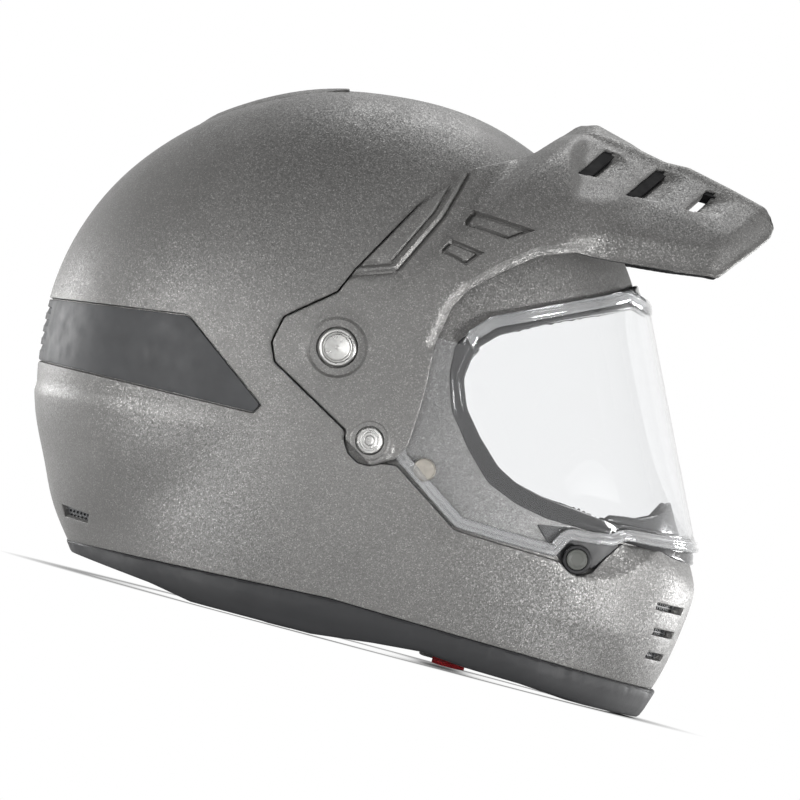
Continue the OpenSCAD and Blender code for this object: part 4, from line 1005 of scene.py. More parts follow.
# Padded pieces
def quilt(u, v, depth, lanes, rows):
    e = np.clip(np.minimum(u, 1 - u) * 9, 0, 1)
    f = np.clip(np.minimum(v, 1 - v) * 7, 0, 1)
    edge = np.sqrt(1 - (1 - e) ** 2) * np.sqrt(1 - (1 - f) ** 2)
    lane = 1 - 0.42 * np.abs(np.cos(math.pi * v * lanes)) ** 14
    row = 1 - 0.34 * np.abs(np.cos(math.pi * u * rows)) ** 16
    return depth * (0.22 + 0.78 * edge * lane * row)


def make_crown_pad():
    u, v = np.meshgrid(np.linspace(0, 1, 121), np.linspace(0, 1, 91), indexing="ij")
    a, t = np.radians(24 + 152 * u), np.radians(40 + 100 * v)
    big = np.interp(np.degrees(a), ANGLES, SHELL_R)

    def at(d):
        """The places d under the shell's skin."""
        r, s = big - d, np.sin(t)
        y = np.where(t < math.pi / 2, 1, -1) * (SHELL_WIDTH - d) * bulge(s)
        return np.stack([s * r * np.cos(a), y, s * r * np.sin(a)], -1)

    back = 39.4
    low = at(back + quilt(u, v, 9.0, 3, 4))
    return grid_solid("crown_quilt", np.concatenate([at(back + 0 * u), low[:, ::-1]], axis=1), "folded")


PAD_CENTRE = (13, -74)
PAD_BACK_Y = FLOOR_WIDTH - 19


def pad_place(q, b):
    c, s = np.cos(b), np.sin(b)
    k = (np.abs(c) ** 2.8 + np.abs(s) ** 2.8) ** (-1 / 2.8)
    u, v = 50 * k * c * q, 45 * k * s * q
    return PAD_CENTRE[0] + u - 0.12 * v, PAD_CENTRE[1] + v - 0.1 * u


def make_cheek_pad(name, way):
    b = full_turn(120)

    def loop(k, y):
        x, z = pad_place(k, b)
        return np.stack([x, way * (y(x) if callable(y) else np.full(len(b), y)), z], -1)

    rows = [loop(k, PAD_BACK_Y) for k in np.concatenate([[0.02, 0.4], np.linspace(0.6, 0.975, 6)])]
    for k in np.concatenate([np.linspace(0.02, 0.74, 16), np.linspace(0.755, 1, 34)])[::-1]:
        swell = 1 - 0.16 * (k / 0.8) ** 3 if k < 0.8 else 0.84 * math.sqrt(max(0, 1 - ((k - 0.8) / 0.2) ** 2))
        swell -= 0.2 * np.clip(1 - abs(k - 0.8) / 0.06, 0, 1) ** 2
        stitch = 0.012 * np.cos(b * 60) * np.exp(-((k - 0.8) / 0.03) ** 2)
        wave = 0.02 * np.sin(3 * b + 1.3) * k * (k < 0.8)
        full = 25 * (swell + stitch + wave)
        rows.append(loop(k, lambda x: PAD_BACK_Y - 5 - full * (1 - 0.12 * (x - PAD_CENTRE[0]) / 50)))
    return grid_solid(name, rows)


def make_neck_roll():
    z0, path = -114.0, []
    for v in np.linspace(-1, 1, 111):
        y = 80 * math.sin(v * math.pi / 2)
        lo, hi = -150.0, 10.0
        for _ in range(24):
            x = (lo + hi) / 2
            wide = pillow_y(x, z0, SHELL_R - 16.5, SHELL_WIDTH - 16.5)
            lo, hi = (lo, x) if wide > abs(y) else (x, hi)
        path.append((x, y))
    path = np.array(path)
    a, rows = full_turn(48), []
    seam = 1 - 0.07 * sum(np.exp(-(((a - at) / 0.12) ** 2)) for at in (1.2, 5.0))
    for f, p, w in zip(np.arange(111) / 110, path, unit(np.gradient(path, axis=0))):
        e = np.clip(min(f, 1 - f) * 8.5, 0.03, 1)
        k = math.sqrt(1 - (1 - e) ** 2) * (1 - 0.1 * abs(math.cos(math.pi * f * 4)) ** 14)
        c, s = 11.3 * k * np.cos(a) * seam, 12.3 * k * np.sin(a) * seam
        rows.append(np.stack([p[0] + w[1] * c, p[1] - w[0] * c, z0 + s], -1))
    return grid_solid("neck_cushion", rows)


# Chin strap
STRAP_HALF = [(STRAP_Y, 6), (STRAP_Y, -4), (STRAP_Y - 2, -16), (STRAP_Y - 9, -29), (STRAP_Y - 22, -41), (55, -48.6),
    (28, -52.6), (0, -54)]


# Each ring's place in the front view from the strap's pivot, its size, and how far the band leans there
RING_SPOTS = [(-24, -52.8, 11, 2.9), (-47, -49.8, 16.6, 8.4)]
RING_RISE = 3.5


def swept(name, path, half_wide, half_thick, round_to=2.4, waves=lambda g: (1.0, 1.0)):
    """A flat band along a path in the front view, as wide as asked along x."""
    c, s = np.cos(full_turn(32)), np.sin(full_turn(32))
    u0 = np.sign(c) * np.abs(c) ** (2 / 8) * half_wide
    v0 = np.sign(s) * np.abs(s) ** (2 / round_to) * half_thick
    rows = []
    for j, (p, w) in enumerate(zip(path, unit(np.gradient(path, axis=0)))):
        wide, thick = waves(j / (len(path) - 1))
        u, v = u0 * wide, v0 * thick
        rows.append(np.stack([STRAP_PIVOT[0] + u, p[0] + w[1] * v, STRAP_PIVOT[1] + p[1] - w[0] * v], -1))
    return grid_solid(name, rows)


def on_strap(spot, along, across, up):
    """Places at a ring's spot on the band: along x, across it, and up from it."""
    y, z, _, lean = spot
    c, s = math.cos(math.radians(lean)), math.sin(math.radians(lean))
    return np.stack([STRAP_PIVOT[0] + along + 0 * across, y + across * c + up * s,
        STRAP_PIVOT[1] + z - across * s + up * c], -1)


def make_webbing():
    """The band from rivet to rivet, with the folded loop that holds each ring."""
    whole = STRAP_HALF + [(-y, z) for y, z in STRAP_HALF[-2::-1]]
    parts = [swept("strap_band", dense(whole, 1.2, closed=False), 12, 1.2)]
    a = full_turn(40)
    for spot in RING_SPOTS:
        rows = []
        for f in np.linspace(0, 1, 15):
            swell = 3.15 + 0.15 * math.sin(math.pi * f)
            up = np.maximum(RING_RISE + swell * np.sin(a), -0.4)
            rows.append(on_strap(spot, 17 * f - 8.5, swell * np.cos(a), up))
        parts.append(grid_solid("ring_loop", rows))
    return joined("strap_band", parts)


def make_ring(name, spot):
    r, a = spot[2], full_turn(20)
    line = [(x, 0) for x in np.linspace(r, -r, 14)]
    line += [(r * math.cos(b), -r * math.sin(b)) for b in np.linspace(math.pi, 2 * math.pi, 40)[1:-1]]
    line = dense(line, 0.9, soft=1.0)
    rows = []
    for p, w in zip(line, unit(np.roll(line, -1, axis=0) - np.roll(line, 1, axis=0))):
        thick = 1.75 * np.cos(a)
        rows.append(on_strap(spot, p[0] + w[1] * thick, p[1] - w[0] * thick, RING_RISE + 1.75 * np.sin(a)))
    return grid_solid(name, rows, "joined")


def make_sleeve(name, way):
    half = np.array(STRAP_HALF, float)
    k = 2.3 + 2.6 * np.linspace(0, 1, 80)
    path = np.stack([way * blurred(np.interp(k, range(len(half)), half[:, 0]), 4),
        blurred(np.interp(k, range(len(half)), half[:, 1]), 4)], 1)

    def waves(g):
        e = min(1, 0.05 + min(g, 1 - g) * 7)
        r = math.sqrt(max(0, 1 - (1 - e) ** 2))
        pinch = 1 - 0.14 * abs(math.cos(math.pi * g * 3)) ** 10
        return 0.86 + 0.14 * r, (0.45 + 0.55 * r) * pinch

    return swept(name, path, 16, 4.1, 2.1, waves)


def make_tab():
    """The pull tab: a folded strip with a sewn line, a little bowed."""
    c, s = np.cos(full_turn(28)), np.sin(full_turn(28))
    u = -55.0 + 1.35 * np.sign(c) * np.abs(c) ** 0.5 * (1 - 0.25 * np.exp(-((s - 0.2) / 0.12) ** 2))
    rows = []
    for f in np.linspace(0, 1, 36):
        v = 4.0 * (1 - 0.08 * abs(math.cos(math.pi * f)) ** 6) * np.sign(s) * np.abs(s) ** 0.6
        bow = 0.35 * math.sin(math.pi * f * 1.4)
        rows.append(np.stack([STRAP_PIVOT[0] - 5 + 17 * f + 0 * u, u + bow, STRAP_PIVOT[1] - 53 + v], -1))
    return grid_solid("red_pull", rows)


# Materials
RING_PITCH = 0.00035


class Graph:
    """A node tree, to which nodes are added one by one."""

    def __init__(self, tree, output, shader):
        self.tree = tree
        self.output = tree.nodes[output]
        self.shader = tree.nodes[shader]

    def add(self, kind, inputs=(), **settings):
        node = self.tree.nodes.new(kind)
        for key, value in settings.items():
            setattr(node, key, value)
        for key, value in dict(inputs).items():
            self.feed(node.inputs[key], value)
        return node

    def feed(self, socket, value):
        if isinstance(value, bpy.types.NodeSocket):
            self.tree.links.new(value, socket)
        else:
            socket.default_value = value

    def noise(self, scale, detail=3.0):
        inputs = {"Vector": self.place, "Scale": scale, "Detail": detail, "Roughness": 0.55}
        return self.add("ShaderNodeTexNoise", inputs).outputs["Fac"]

    def cells(self, scale):
        return self.add("ShaderNodeTexVoronoi", {"Vector": self.place, "Scale": scale}).outputs

    def bands(self, way, scale, distortion, place=None, **inputs):
        inputs = {"Vector": place or self.place, "Scale": scale, "Distortion": distortion, **inputs}
        return self.add("ShaderNodeTexWave", inputs, wave_type="BANDS", bands_direction=way).outputs["Fac"]

    def span(self, value, low, high, to_low, to_high):
        inputs = {"Value": value, "From Min": low, "From Max": high, "To Min": to_low, "To Max": to_high}
        return self.add("ShaderNodeMapRange", inputs).outputs["Result"]

    def uneven(self, scale, low, high, detail=3.0):
        """A value that wanders between two others, in patches."""
        return self.span(self.noise(scale, detail), 0.3, 0.7, low, high)

    def maths(self, how, a, b):
        return self.add("ShaderNodeMath", {0: a, 1: b}, operation=how).outputs[0]

    def vector(self, how, a, b):
        return self.add("ShaderNodeVectorMath", {0: a, 1: b}, operation=how).outputs[0]

    def ramp(self, value, stops):
        node = self.add("ShaderNodeValToRGB", {"Fac": value})
        line = node.color_ramp
        while len(line.elements) < len(stops):
            line.elements.new(0.5)
        for element, (at, colour) in zip(line.elements, stops):
            element.position = at
            element.color = (*colour, 1)
        return node.outputs["Color"]

    def blend(self, value, a, b, how="MIX"):
        return self.add("ShaderNodeMix", {0: value, 6: a, 7: b}, data_type="RGBA", blend_type=how).outputs[2]

    def mix(self, value, a, b):
        """Shows one shader or another."""
        self.feed(self.output.inputs["Surface"], self.add("ShaderNodeMixShader", {0: value, 1: a, 2: b}).outputs[0])

    def bump(self, height, distance, strength):
        inputs = {"Height": height, "Distance": distance, "Strength": strength}
        return self.add("ShaderNodeBump", inputs).outputs["Normal"]

    def set(self, **values):
        for key, value in values.items():
            self.feed(self.shader.inputs[key.replace("_", " ")], value)
        return self


def finish(name, colour, rough, metallic=0.0, **constants):
    """A new material's nodes, with what is the same all over set on the shader itself."""
    made = bpy.data.materials.new(name)
    made.use_nodes = True
    g = Graph(made.node_tree, "Material Output", "Principled BSDF")
    g.material = made
    g.set(Base_Color=(*colour, 1), Roughness=rough, Metallic=metallic, **constants)
    g.place = g.add("ShaderNodeTexCoord").outputs["Object"]
    return g


def tone(colour, k):
    return tuple(min(1.0, c * k) for c in colour)


def patches(colour, low, high):
    """The stops of a ramp on noise, from a darker to a lighter tone."""
    return [(0.3, tone(colour, low)), (0.7, tone(colour, high))]


def moulded(name, colour, rough, grain=1500, bump=0.00004, spread=0.12, shine=0.5):
    """Moulded plastic or rubber: fine grain, faint clouding and uneven gloss."""
    g = finish(name, colour, rough, Specular_IOR_Level=shine)
    g.set(Base_Color=g.ramp(g.noise(45, 4), patches(colour, 1 - spread, 1 + spread)),
        Roughness=g.uneven(140, rough - 0.05, rough + 0.07), Normal=g.bump(g.noise(grain, 2), bump, 0.6))
    return g.material


def paint(colour, flake):
    """Matt metallic paint with bright flakes in two sizes."""
    g = finish("flake_paint", colour, 0.5, Specular_IOR_Level=0.2)
    flakes = g.cells(1 / flake)["Color"]
    pick = g.add("ShaderNodeSeparateColor", {"Color": flakes}).outputs[0]
    pick_fine = g.add("ShaderNodeSeparateColor", {"Color": g.cells(13 / 7 / flake)["Color"]}).outputs[1]
    bright = [(0.0, 0.72), (0.55, 1), (0.86, 1.18), (0.97, 2.0)]
    base = g.ramp(pick, [(at, tone(colour, k)) for at, k in bright])
    base = g.blend(0.35, base, g.ramp(pick_fine, [(0.0, tone(colour, 0.75)), (1.0, tone(colour, 1.35))]))
    base = g.blend(1.0, base, g.ramp(g.noise(18), [(0.3, (0.93,) * 3), (0.7, (1.06,) * 3)]), "MULTIPLY")
    tilt = g.vector("SUBTRACT", flakes, (0.5, 0.5, 0.5))
    tilt = g.add("ShaderNodeVectorMath", {0: tilt, "Scale": 0.26}, operation="SCALE").outputs[0]
    straight = g.add("ShaderNodeNewGeometry").outputs["Normal"]
    lean = g.vector("NORMALIZE", g.vector("ADD", straight, tilt), (0, 0, 0))
    g.set(Base_Color=base, Normal=lean, Metallic=g.span(pick, 0.3, 1.0, 0.2, 0.85),
        Roughness=g.uneven(60, 0.44, 0.52))
    return g.material


def clear_plastic():
    """Clear polycarbonate that lets light through to what is behind it."""
    g = finish("clear_shield", (0.97, 0.975, 0.98), 0.015, Transmission_Weight=1.0, IOR=1.5)
    g.set(Roughness=g.uneven(30, 0.0, 0.012, 2))
    through = g.add("ShaderNodeBsdfTransparent", {"Color": (0.96, 0.965, 0.97, 1)})
    rays = g.add("ShaderNodeLightPath").outputs
    g.mix(g.maths("MAXIMUM", rays["Is Shadow Ray"], rays["Is Diffuse Ray"]), g.shader.outputs[0], through.outputs[0])
    return g.material


def clear_edge_painted_highlight():
    """The shield's thick moulded edge, made milky and light: a painted highlight of the bright band in its thick clear
    edge.
    """
    g = finish("shield_edge_painted_highlight", (0.86, 0.87, 0.87), 0.12, Transmission_Weight=0.8)
    g.set(Roughness=g.uneven(60, 0.02, 0.06),
        Base_Color=g.ramp(g.noise(25, 2), [(0.3, (0.76, 0.77, 0.78)), (0.7, (0.92, 0.92, 0.92))]))
    return g.material


def turned_metal(name, colour, spot, rough=0.3):
    """Lathe turned metal with fine rings about its own middle line."""
    g = finish(name, colour, rough, 1.0)
    from_middle = g.vector("SUBTRACT", g.place, in_metres([spot[0], 0, spot[1]]))
    flat = g.vector("MULTIPLY", from_middle, (1, 0, 1))
    r = g.add("ShaderNodeVectorMath", {0: flat}, operation="LENGTH").outputs["Value"]
    rings = g.maths("SINE", g.maths("MULTIPLY", r, 2 * math.pi / RING_PITCH), 0.0)
    height = g.maths("ADD", g.maths("MULTIPLY", rings, 0.5), g.maths("MULTIPLY", g.noise(700), 0.6))
    g.set(Normal=g.bump(height, 0.00002, 0.55), Base_Color=g.ramp(g.noise(300), patches(colour, 0.82, 1.08)),
        Roughness=g.uneven(220, rough - 0.08, rough + 0.12))
    return g.material


def cloth(name, colour, scale, bump=0.00025, rough=0.92, sheen=0.35):
    """Knitted or woven cloth, as crossing rows of threads."""
    g = finish(name, colour, rough, Sheen_Weight=sheen, Sheen_Roughness=0.4)
    way = g.add("ShaderNodeMapping", {"Vector": g.place, "Rotation": (0.3, 0.2, 0.785)}).outputs[0]
    x, y, z = [g.bands(axis, scale, 0.6, way, **{"Detail": 1.0, "Detail Scale": 2.0}) for axis in "XYZ"]
    thread = g.maths("MULTIPLY", g.maths("MULTIPLY", x, y), g.maths("ADD", z, 0.4))
    cloud = g.noise(60, 4)
    base = g.ramp(thread, [(0.0, tone(colour, 0.45)), (0.5, colour), (1.0, tone(colour, 1.7))])
    base = g.blend(1.0, base, g.ramp(cloud, [(0.3, (0.8,) * 3), (0.7, (1.15,) * 3)]), "MULTIPLY")
    g.set(Base_Color=base, Normal=g.bump(thread, bump, 0.8),
        Roughness=g.span(cloud, 0.3, 0.7, rough - 0.08, min(1.0, rough + 0.05)))
    return g.material


def beads(name, colour):
    """Crushable foam: fused beads."""
    g = finish(name, colour, 0.85)
    cell = g.cells(260)["Distance"]
    g.set(Base_Color=g.ramp(cell, [(0.0, tone(colour, 1.5)), (0.5, colour), (0.9, tone(colour, 0.55))]),
        Normal=g.bump(g.maths("SUBTRACT", 1.0, cell), 0.0004, 0.6), Roughness=g.uneven(90, 0.78, 0.95))
    return g.material


def webbing_cloth(name, colour):
    """Woven strap: close ribs across and fine threads along."""
    g = finish(name, colour, 0.7, Sheen_Weight=0.25)
    ribs = g.maths("ADD", g.bands("Y", 190.0, 0.3), g.bands("Z", 190.0, 0.3))
    thread = g.maths("MULTIPLY", ribs, g.bands("X", 420.0, 0.2))
    g.set(Base_Color=g.ramp(thread, [(0.0, tone(colour, 0.5)), (0.6, colour), (1.0, tone(colour, 1.8))]),
        Normal=g.bump(thread, 0.0002, 0.8), Roughness=g.uneven(200, 0.6, 0.8))
    return g.material


# Sizes and colours that can be changed in the sidebar
class HelmetSizes(bpy.types.PropertyGroup):
    """Sizes of the paint's flakes and of the photographer's stand."""
    flake_size: FloatProperty(name="Flake size", description="Width of the larger flakes in the paint",
        default=1 / 2100, min=0.0002, max=0.002, subtype="DISTANCE", unit="LENGTH", precision=5)
    camera_distance: FloatProperty(name="Camera distance", description="From the camera to the helmet's middle",
        default=10.0, min=1.0, max=20.0, subtype="DISTANCE", unit="LENGTH")
    camera_roll: FloatProperty(name="Camera roll", description="How far the camera is tipped to its left",
        default=math.radians(14.8), min=-1.0, max=1.0, subtype="ANGLE", unit="ROTATION")


def colour_property(name, description, default):
    return FloatVectorProperty(name=name, description=description, default=default, min=0, max=1, size=3,
        subtype="COLOR")


class HelmetColours(bpy.types.PropertyGroup):
    """Colours of the helmet's materials."""
    paint: colour_property("Paint", "Painted shell, crown cover and peak", (0.16, 0.158, 0.154))
    panel: colour_property("Panel", "Satin panel round the back", (0.035, 0.036, 0.038))
    rubber: colour_property("Rubber", "Edge trim", (0.022, 0.0225, 0.024))
    seal: colour_property("Seal", "Seal round the eye port", (0.012, 0.012, 0.013))
    metal: colour_property("Metal", "Screws", (0.33, 0.328, 0.32))
    snap: colour_property("Snap disc", "Warm brushed disc at the shield's rear", (0.25, 0.235, 0.21))
    cloth: colour_property("Liner cloth", "Crown pad, cheek pads and neck roll", (0.02, 0.02, 0.022))
    tab: colour_property("Pull tab", "Tab on the strap", (0.55, 0.012, 0.02))


MADE = {}


def material(key):
    """The material of that name, made the first time that it is asked for."""
    if key in MADE:
        return MADE[key]
    c, sizes = bpy.context.scene.helmet_colours, bpy.context.scene.helmet_sizes
    makers = {
        "paint": lambda: paint(tuple(c.paint), sizes.flake_size),
        "panel": lambda: moulded("satin_panel", tuple(c.panel), 0.58, 900, 0.00003, 0.15, 0.35),
        "black": lambda: moulded("black_plastic", (0.014, 0.014, 0.015), 0.48, 1300, 0.00003, 0.12, 0.35),
        # Near-black and almost without gloss: painted shade for the sheets under the louvres
        "louvre_shade": lambda: moulded("painted_shade_black", (0.005, 0.005, 0.0055), 0.75, 1300, 0.00003, 0.12, 0.1),
        "mesh": lambda: moulded("mesh_plastic", (0.05, 0.052, 0.054), 0.5, 1300),
        "rubber": lambda: moulded("trim_rubber", tuple(c.rubber), 0.56, 1100, 0.00005, 0.12, 0.35),
        "seal": lambda: moulded("seal_rubber", tuple(c.seal), 0.14, 60, 0.000002, 0.1, 0.5),
        "button": lambda: moulded("button_face", (0.095, 0.098, 0.09), 0.55, 1200, 0.00003),
        "metal": lambda: turned_metal("turned_screw", tuple(c.metal), BIG_SCREW),
        "metal_small": lambda: turned_metal("turned_small_screw", tuple(c.metal), SMALL_SCREW),
        "snap": lambda: turned_metal("turned_snap_disc", tuple(c.snap), SNAP, 0.5),
        "plated": lambda: turned_metal("plated_steel", (0.5, 0.5, 0.5), STRAP_PIVOT, 0.25),
        "clear": clear_plastic,
        "clear_edge_painted_highlight": clear_edge_painted_highlight,
        "foam": lambda: beads("crushable_foam", (0.03, 0.03, 0.032)),
        "cloth": lambda: cloth("liner_knit", tuple(c.cloth), 330),
        "suede": lambda: cloth("neck_suede", (0.016, 0.016, 0.017), 620, 0.00012, 0.97, 0.5),
        "webbing": lambda: webbing_cloth("strap_weave", (0.014, 0.014, 0.015)),
        "tab": lambda: webbing_cloth("red_weave", tuple(c.tab)),
    }
    MADE[key] = makers[key]()
    return MADE[key]


def redress(node, key):
    """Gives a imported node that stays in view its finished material."""
    obj = frame["nodes"][node]
    obj.data.materials.clear()
    obj.data.materials.append(material(key))


class PieceOperator:
    """What the piece operators share."""
    bl_options = {"REGISTER", "UNDO"}

    def execute(self, context):
        bpy.ops.object.select_all(action="DESELECT")
        self.build()
        return {"FINISHED"}


class HELMET_OT_shell(PieceOperator, bpy.types.Operator):
    """Builds the painted shell and the cover on its crown"""
    bl_idname = "helmet.shell"
    bl_label = "Shell"

    def build(self):
        settle(make_shell(), "helmet", "paint", material("paint"), "shell")
        settle(make_crown_cover(), "helmet", "paint", material("paint"), "crown_cover")


class HELMET_OT_panel(PieceOperator, bpy.types.Operator):
    """Builds the dark panel that wraps round the back"""
    bl_idname = "helmet.panel"
    bl_label = "Rear panel"

    def build(self):
        settle(make_rear_panel(), "helmet", "satin_panel", material("panel"), "rear_panel")


class HELMET_OT_rubber(PieceOperator, bpy.types.Operator):
    """Builds the edge trim, the seal of the eye port and the breath guard"""
    bl_idname = "helmet.rubber"
    bl_label = "Trim and seals"

    def build(self):
        settle(make_rim_trim(), "helmet", "rubber", material("rubber"), "rim_trim")
        settle(make_gasket(), "helmet", "rubber", material("seal"), "eyeport_gasket")
        settle(make_guard(), "helmet", "rubber", material("seal"), "breath_guard")


class HELMET_OT_vents(PieceOperator, bpy.types.Operator):
    """Builds the meshed plates behind the chin slots and the low rear slots"""
    bl_idname = "helmet.vents"
    bl_label = "Vents"

    def build(self):
        settle(make_chin_grille(), "helmet", "black_plastic", material("mesh"), "chin_vent_grilles")
        settle(make_neck_grille(), "helmet", "black_plastic", material("mesh"), "neck_vent_grilles")


class HELMET_OT_peak(PieceOperator, bpy.types.Operator):
    """Builds the peak with its side arms, louvres and marks"""
    bl_idname = "helmet.peak"
    bl_label = "Peak"

    def build(self):
        peak, shade_sheets = make_peak()
        # The peak's inside is black plastic: painted shade under the peak
        settle(peak, "helmet", "paint", material("paint"), "peak", inside=material("black"))
        # The sheets under the louvres are painted shade
        settle(shade_sheets, "helmet", "black_plastic", material("louvre_shade"))


class HELMET_OT_shield(PieceOperator, bpy.types.Operator):
    """Builds the clear shield with its snap discs"""
    bl_idname = "helmet.shield"
    bl_label = "Shield"

    def build(self):
        lens, rim = make_lens()
        settle(lens, "shield", "clear", material("clear"), "shield_lens")
        settle(rim, "shield", "clear", material("clear_edge_painted_highlight"))
        settle(make_turned("shield_snap_discs"), "shield", "steel", material("snap"), "shield_snap_caps")
        redress("shield_arm_rings", "black")


class HELMET_OT_screws(PieceOperator, bpy.types.Operator):
    """Builds the screws, and finishes the hubs and inserts that they hold"""
    bl_idname = "helmet.screws"
    bl_label = "Screws and hubs"

    def build(self):
        settle(make_turned("wide_pivot_screws"), "helmet", "steel", material("metal"), "pivot_screws")
        settle(make_small_screws(), "helmet", "steel", material("metal_small"), "lower_screws")
        for node in ("shield_base_plates", "pivot_hubs"):
            redress(node, "black")
        for node in ("pivot_nuts", "lower_nuts", "snap_studs"):
            redress(node, "plated")


class HELMET_OT_latches(PieceOperator, bpy.types.Operator):
    """Builds the shield's latch buttons, their cups and the black plates round them"""
    bl_idname = "helmet.latches"
    bl_label = "Latches"

    def build(self):
        settle(make_turned("latch_cups"), "helmet", "black_plastic", material("black"), "latch_housings")
        settle(make_latch_plates(), "helmet", "black_plastic", material("black"), "latch_plates")
        for side, way in (("right", -1), ("left", 1)):
            button = make_turned(f"press_button_{side}", "press_button", (way,))
            settle(button, f"button_{side}", "rubber", material("button"), f"latch_button_{side}")


class HELMET_OT_foam(PieceOperator, bpy.types.Operator):
    """Builds the crushable liner and the chin foam"""
    bl_idname = "helmet.foam"
    bl_label = "Foam"

    def build(self):
        settle(make_foam(), "helmet", "foam", material("foam"), "foam_liner")
        settle(make_chin_foam(), "helmet", "foam", material("foam"), "chin_foam")
        for node in ("cheek_foam_right", "cheek_foam_left"):
            redress(node, "foam")


class HELMET_OT_pads(PieceOperator, bpy.types.Operator):
    """Builds the crown pad, the cheek pads and the neck roll"""
    bl_idname = "helmet.pads"
    bl_label = "Comfort pads"

    def build(self):
        pads = [settle(make_crown_pad(), "helmet", "liner_cloth", material("cloth"), "crown_pad")]
        for side, way in (("right", -1), ("left", 1)):
            pad = make_cheek_pad(f"cheek_cushion_{side}", way)
            pads.append(settle(pad, "helmet", "liner_cloth", material("cloth"), f"cheek_pad_{side}"))
        pads.append(settle(make_neck_roll(), "helmet", "liner_cloth", material("suede"), "neck_roll"))


class HELMET_OT_strap(PieceOperator, bpy.types.Operator):
    """Builds the chin strap with its sleeves, rings, tab, anchor plates and rivets"""
    bl_idname = "helmet.strap"
    bl_label = "Chin strap"

    def build(self):
        settle(make_webbing(), "strap", "webbing", material("webbing"), "strap_webbing")
        for side, way in (("right", -1), ("left", 1)):
            sleeve = make_sleeve(f"strap_sleeve_{side}", way)
            settle(sleeve, "strap", "liner_cloth", material("suede"), f"strap_pad_{side}")
        for size, spot in zip(("small", "large"), RING_SPOTS):
            held = make_ring(f"strap_ring_{size}", spot)
            settle(held, f"ring_{size}", "steel", material("plated"), f"d_ring_{size}")
        settle(make_tab(), "strap", "red_cloth", material("tab"), "pull_tab")
        settle(make_turned("strap_anchor_plates"), "helmet", "steel", material("plated"), "strap_hangers")
        settle(make_turned("strap_anchor_rivets"), "helmet", "steel", material("plated"), "strap_rivets")
        redress("strap_pins", "plated")


def shown_white(g, kind, colour=(1, 1, 1, 1)):
    """Lets the camera, gloss and clear plastic see plain white, and keeps the tree's own light for the rest."""
    rays = g.add("ShaderNodeLightPath").outputs
    seen = g.maths("MAXIMUM", rays["Is Camera Ray"], rays["Is Transmission Ray"])
    white = g.add(kind, {"Color": colour, "Strength": 1.0}).outputs[0]
    g.mix(g.maths("MAXIMUM", seen, rays["Is Glossy Ray"]), g.shader.outputs[0], white)


# Lamps: where each stands in metres, the height that it aims at over the middle, its power, its width and
# height, and its spread
LAMPS = [("rear", (-1.25, -0.95, 0.03), 0.03, 1.3, (1.2, 0.25), 20),
    ("front", (1.48, -0.56, 0.12), 0.12, 1.4, (1.2, 0.25), 20),
    ("middle", (-0.42, -1.65, 0.04), 0.04, 0.42, (1.0, 0.25), 20),
    ("top", (0.1, 1.1, 1.5), 0.1, 0.65, (1.2, 0.4), 30),
    ("far_rear", (-1.25, 0.95, 0.03), 0.03, 1.0, (1.2, 0.25), 20),
    ("far_front", (1.2, 1.0, 0.13), 0.13, 1.0, (1.2, 0.25), 20)]
# How wide the camera's view is at the helmet, where its middle is, and how far the floor's shade reaches
VIEW_WIDTH = 0.4096
VIEW_MIDDLE = (0.010, 0, 0.1264)
SHADE_REACH = 0.035


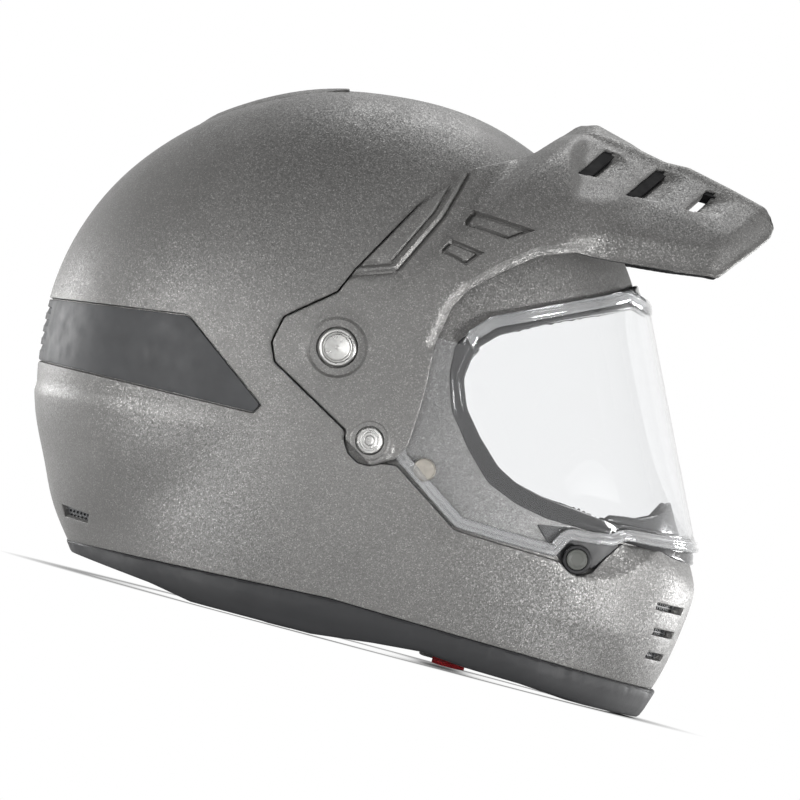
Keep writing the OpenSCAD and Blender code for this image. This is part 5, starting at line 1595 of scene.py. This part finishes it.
class HELMET_OT_stage(PieceOperator, bpy.types.Operator):
    """Sets the pale floor, the lamps, the white surroundings and the camera"""
    bl_idname = "helmet.stage"
    bl_label = "Stage"

    def build(self):
        scene = bpy.context.scene
        bpy.ops.mesh.primitive_plane_add(size=14, location=(0, 0, -0.0005))
        floor = bpy.context.object
        floor.name = "pale_floor"
        g = finish("pale_floor", (0.82, 0.82, 0.82), 0.8)
        shade = g.add("ShaderNodeAmbientOcclusion", {"Distance": SHADE_REACH})
        shown_white(g, "ShaderNodeEmission", shade.outputs["Color"])
        floor.data.materials.append(g.material)
        scene.world = bpy.data.worlds.new("plain_surroundings")
        scene.world.use_nodes = True
        g = Graph(scene.world.node_tree, "World Output", "Background")
        g.set(Color=(1, 1, 1, 1), Strength=0.06)
        shown_white(g, "ShaderNodeBackground")
        for lamp in LAMPS:
            self.hang(scene, *lamp)
        self.place_camera(scene, scene.helmet_sizes)
        scene.view_settings.view_transform = "Standard"

    def hang(self, scene, name, place, aim, power, size, spread):
        lamp = bpy.data.lights.new(name, "AREA")
        lamp.shape = "RECTANGLE"
        lamp.size, lamp.size_y = size
        lamp.energy = power
        lamp.spread = math.radians(spread)
        obj = bpy.data.objects.new(name, lamp)
        obj.location = place
        obj.rotation_euler = (Vector((0, 0, aim)) - Vector(place)).to_track_quat("-Z", "Y").to_euler()
        obj.visible_camera = False
        scene.collection.objects.link(obj)

    def place_camera(self, scene, sizes):
        data = bpy.data.cameras.new("photo_camera")
        data.sensor_width = 36
        data.lens = data.sensor_width * sizes.camera_distance / VIEW_WIDTH
        scene.camera = bpy.data.objects.new("photo_camera", data)
        scene.collection.objects.link(scene.camera)
        a = sizes.camera_roll
        right, up = Vector((math.cos(a), 0, math.sin(a))), Vector((-math.sin(a), 0, math.cos(a)))
        back = right.cross(up)
        turn = Matrix((right, up, back)).transposed().to_4x4()
        turn.translation = Vector(VIEW_MIDDLE) + back * sizes.camera_distance
        scene.camera.matrix_world = turn


PIECES = [HELMET_OT_shell, HELMET_OT_panel, HELMET_OT_rubber, HELMET_OT_vents, HELMET_OT_peak, HELMET_OT_shield,
    HELMET_OT_screws, HELMET_OT_latches, HELMET_OT_foam, HELMET_OT_pads, HELMET_OT_strap, HELMET_OT_stage]


class HELMET_PT_main(bpy.types.Panel):
    """The helmet's pieces, sizes and colours"""
    bl_idname = "HELMET_PT_main"
    bl_label = "Helmet"
    bl_space_type = "VIEW_3D"
    bl_region_type = "UI"
    bl_category = "Helmet"

    def draw(self, context):
        for group in (context.scene.helmet_sizes, context.scene.helmet_colours):
            for key in group.__annotations__:
                self.layout.prop(group, key)
        for piece in PIECES:
            self.layout.operator(piece.bl_idname)


CLASSES = [HelmetSizes, HelmetColours, *PIECES, HELMET_PT_main]


def register():
    for cls in CLASSES:
        bpy.utils.register_class(cls)
    bpy.types.Scene.helmet_sizes = PointerProperty(type=HelmetSizes)
    bpy.types.Scene.helmet_colours = PointerProperty(type=HelmetColours)


def unregister():
    del bpy.types.Scene.helmet_colours
    del bpy.types.Scene.helmet_sizes
    for cls in reversed(CLASSES):
        bpy.utils.unregister_class(cls)


def main():
    register()
    for piece in PIECES:
        group, name = piece.bl_idname.split(".")
        getattr(getattr(bpy.ops, group), name)()


if __name__ == "__main__":
    main()
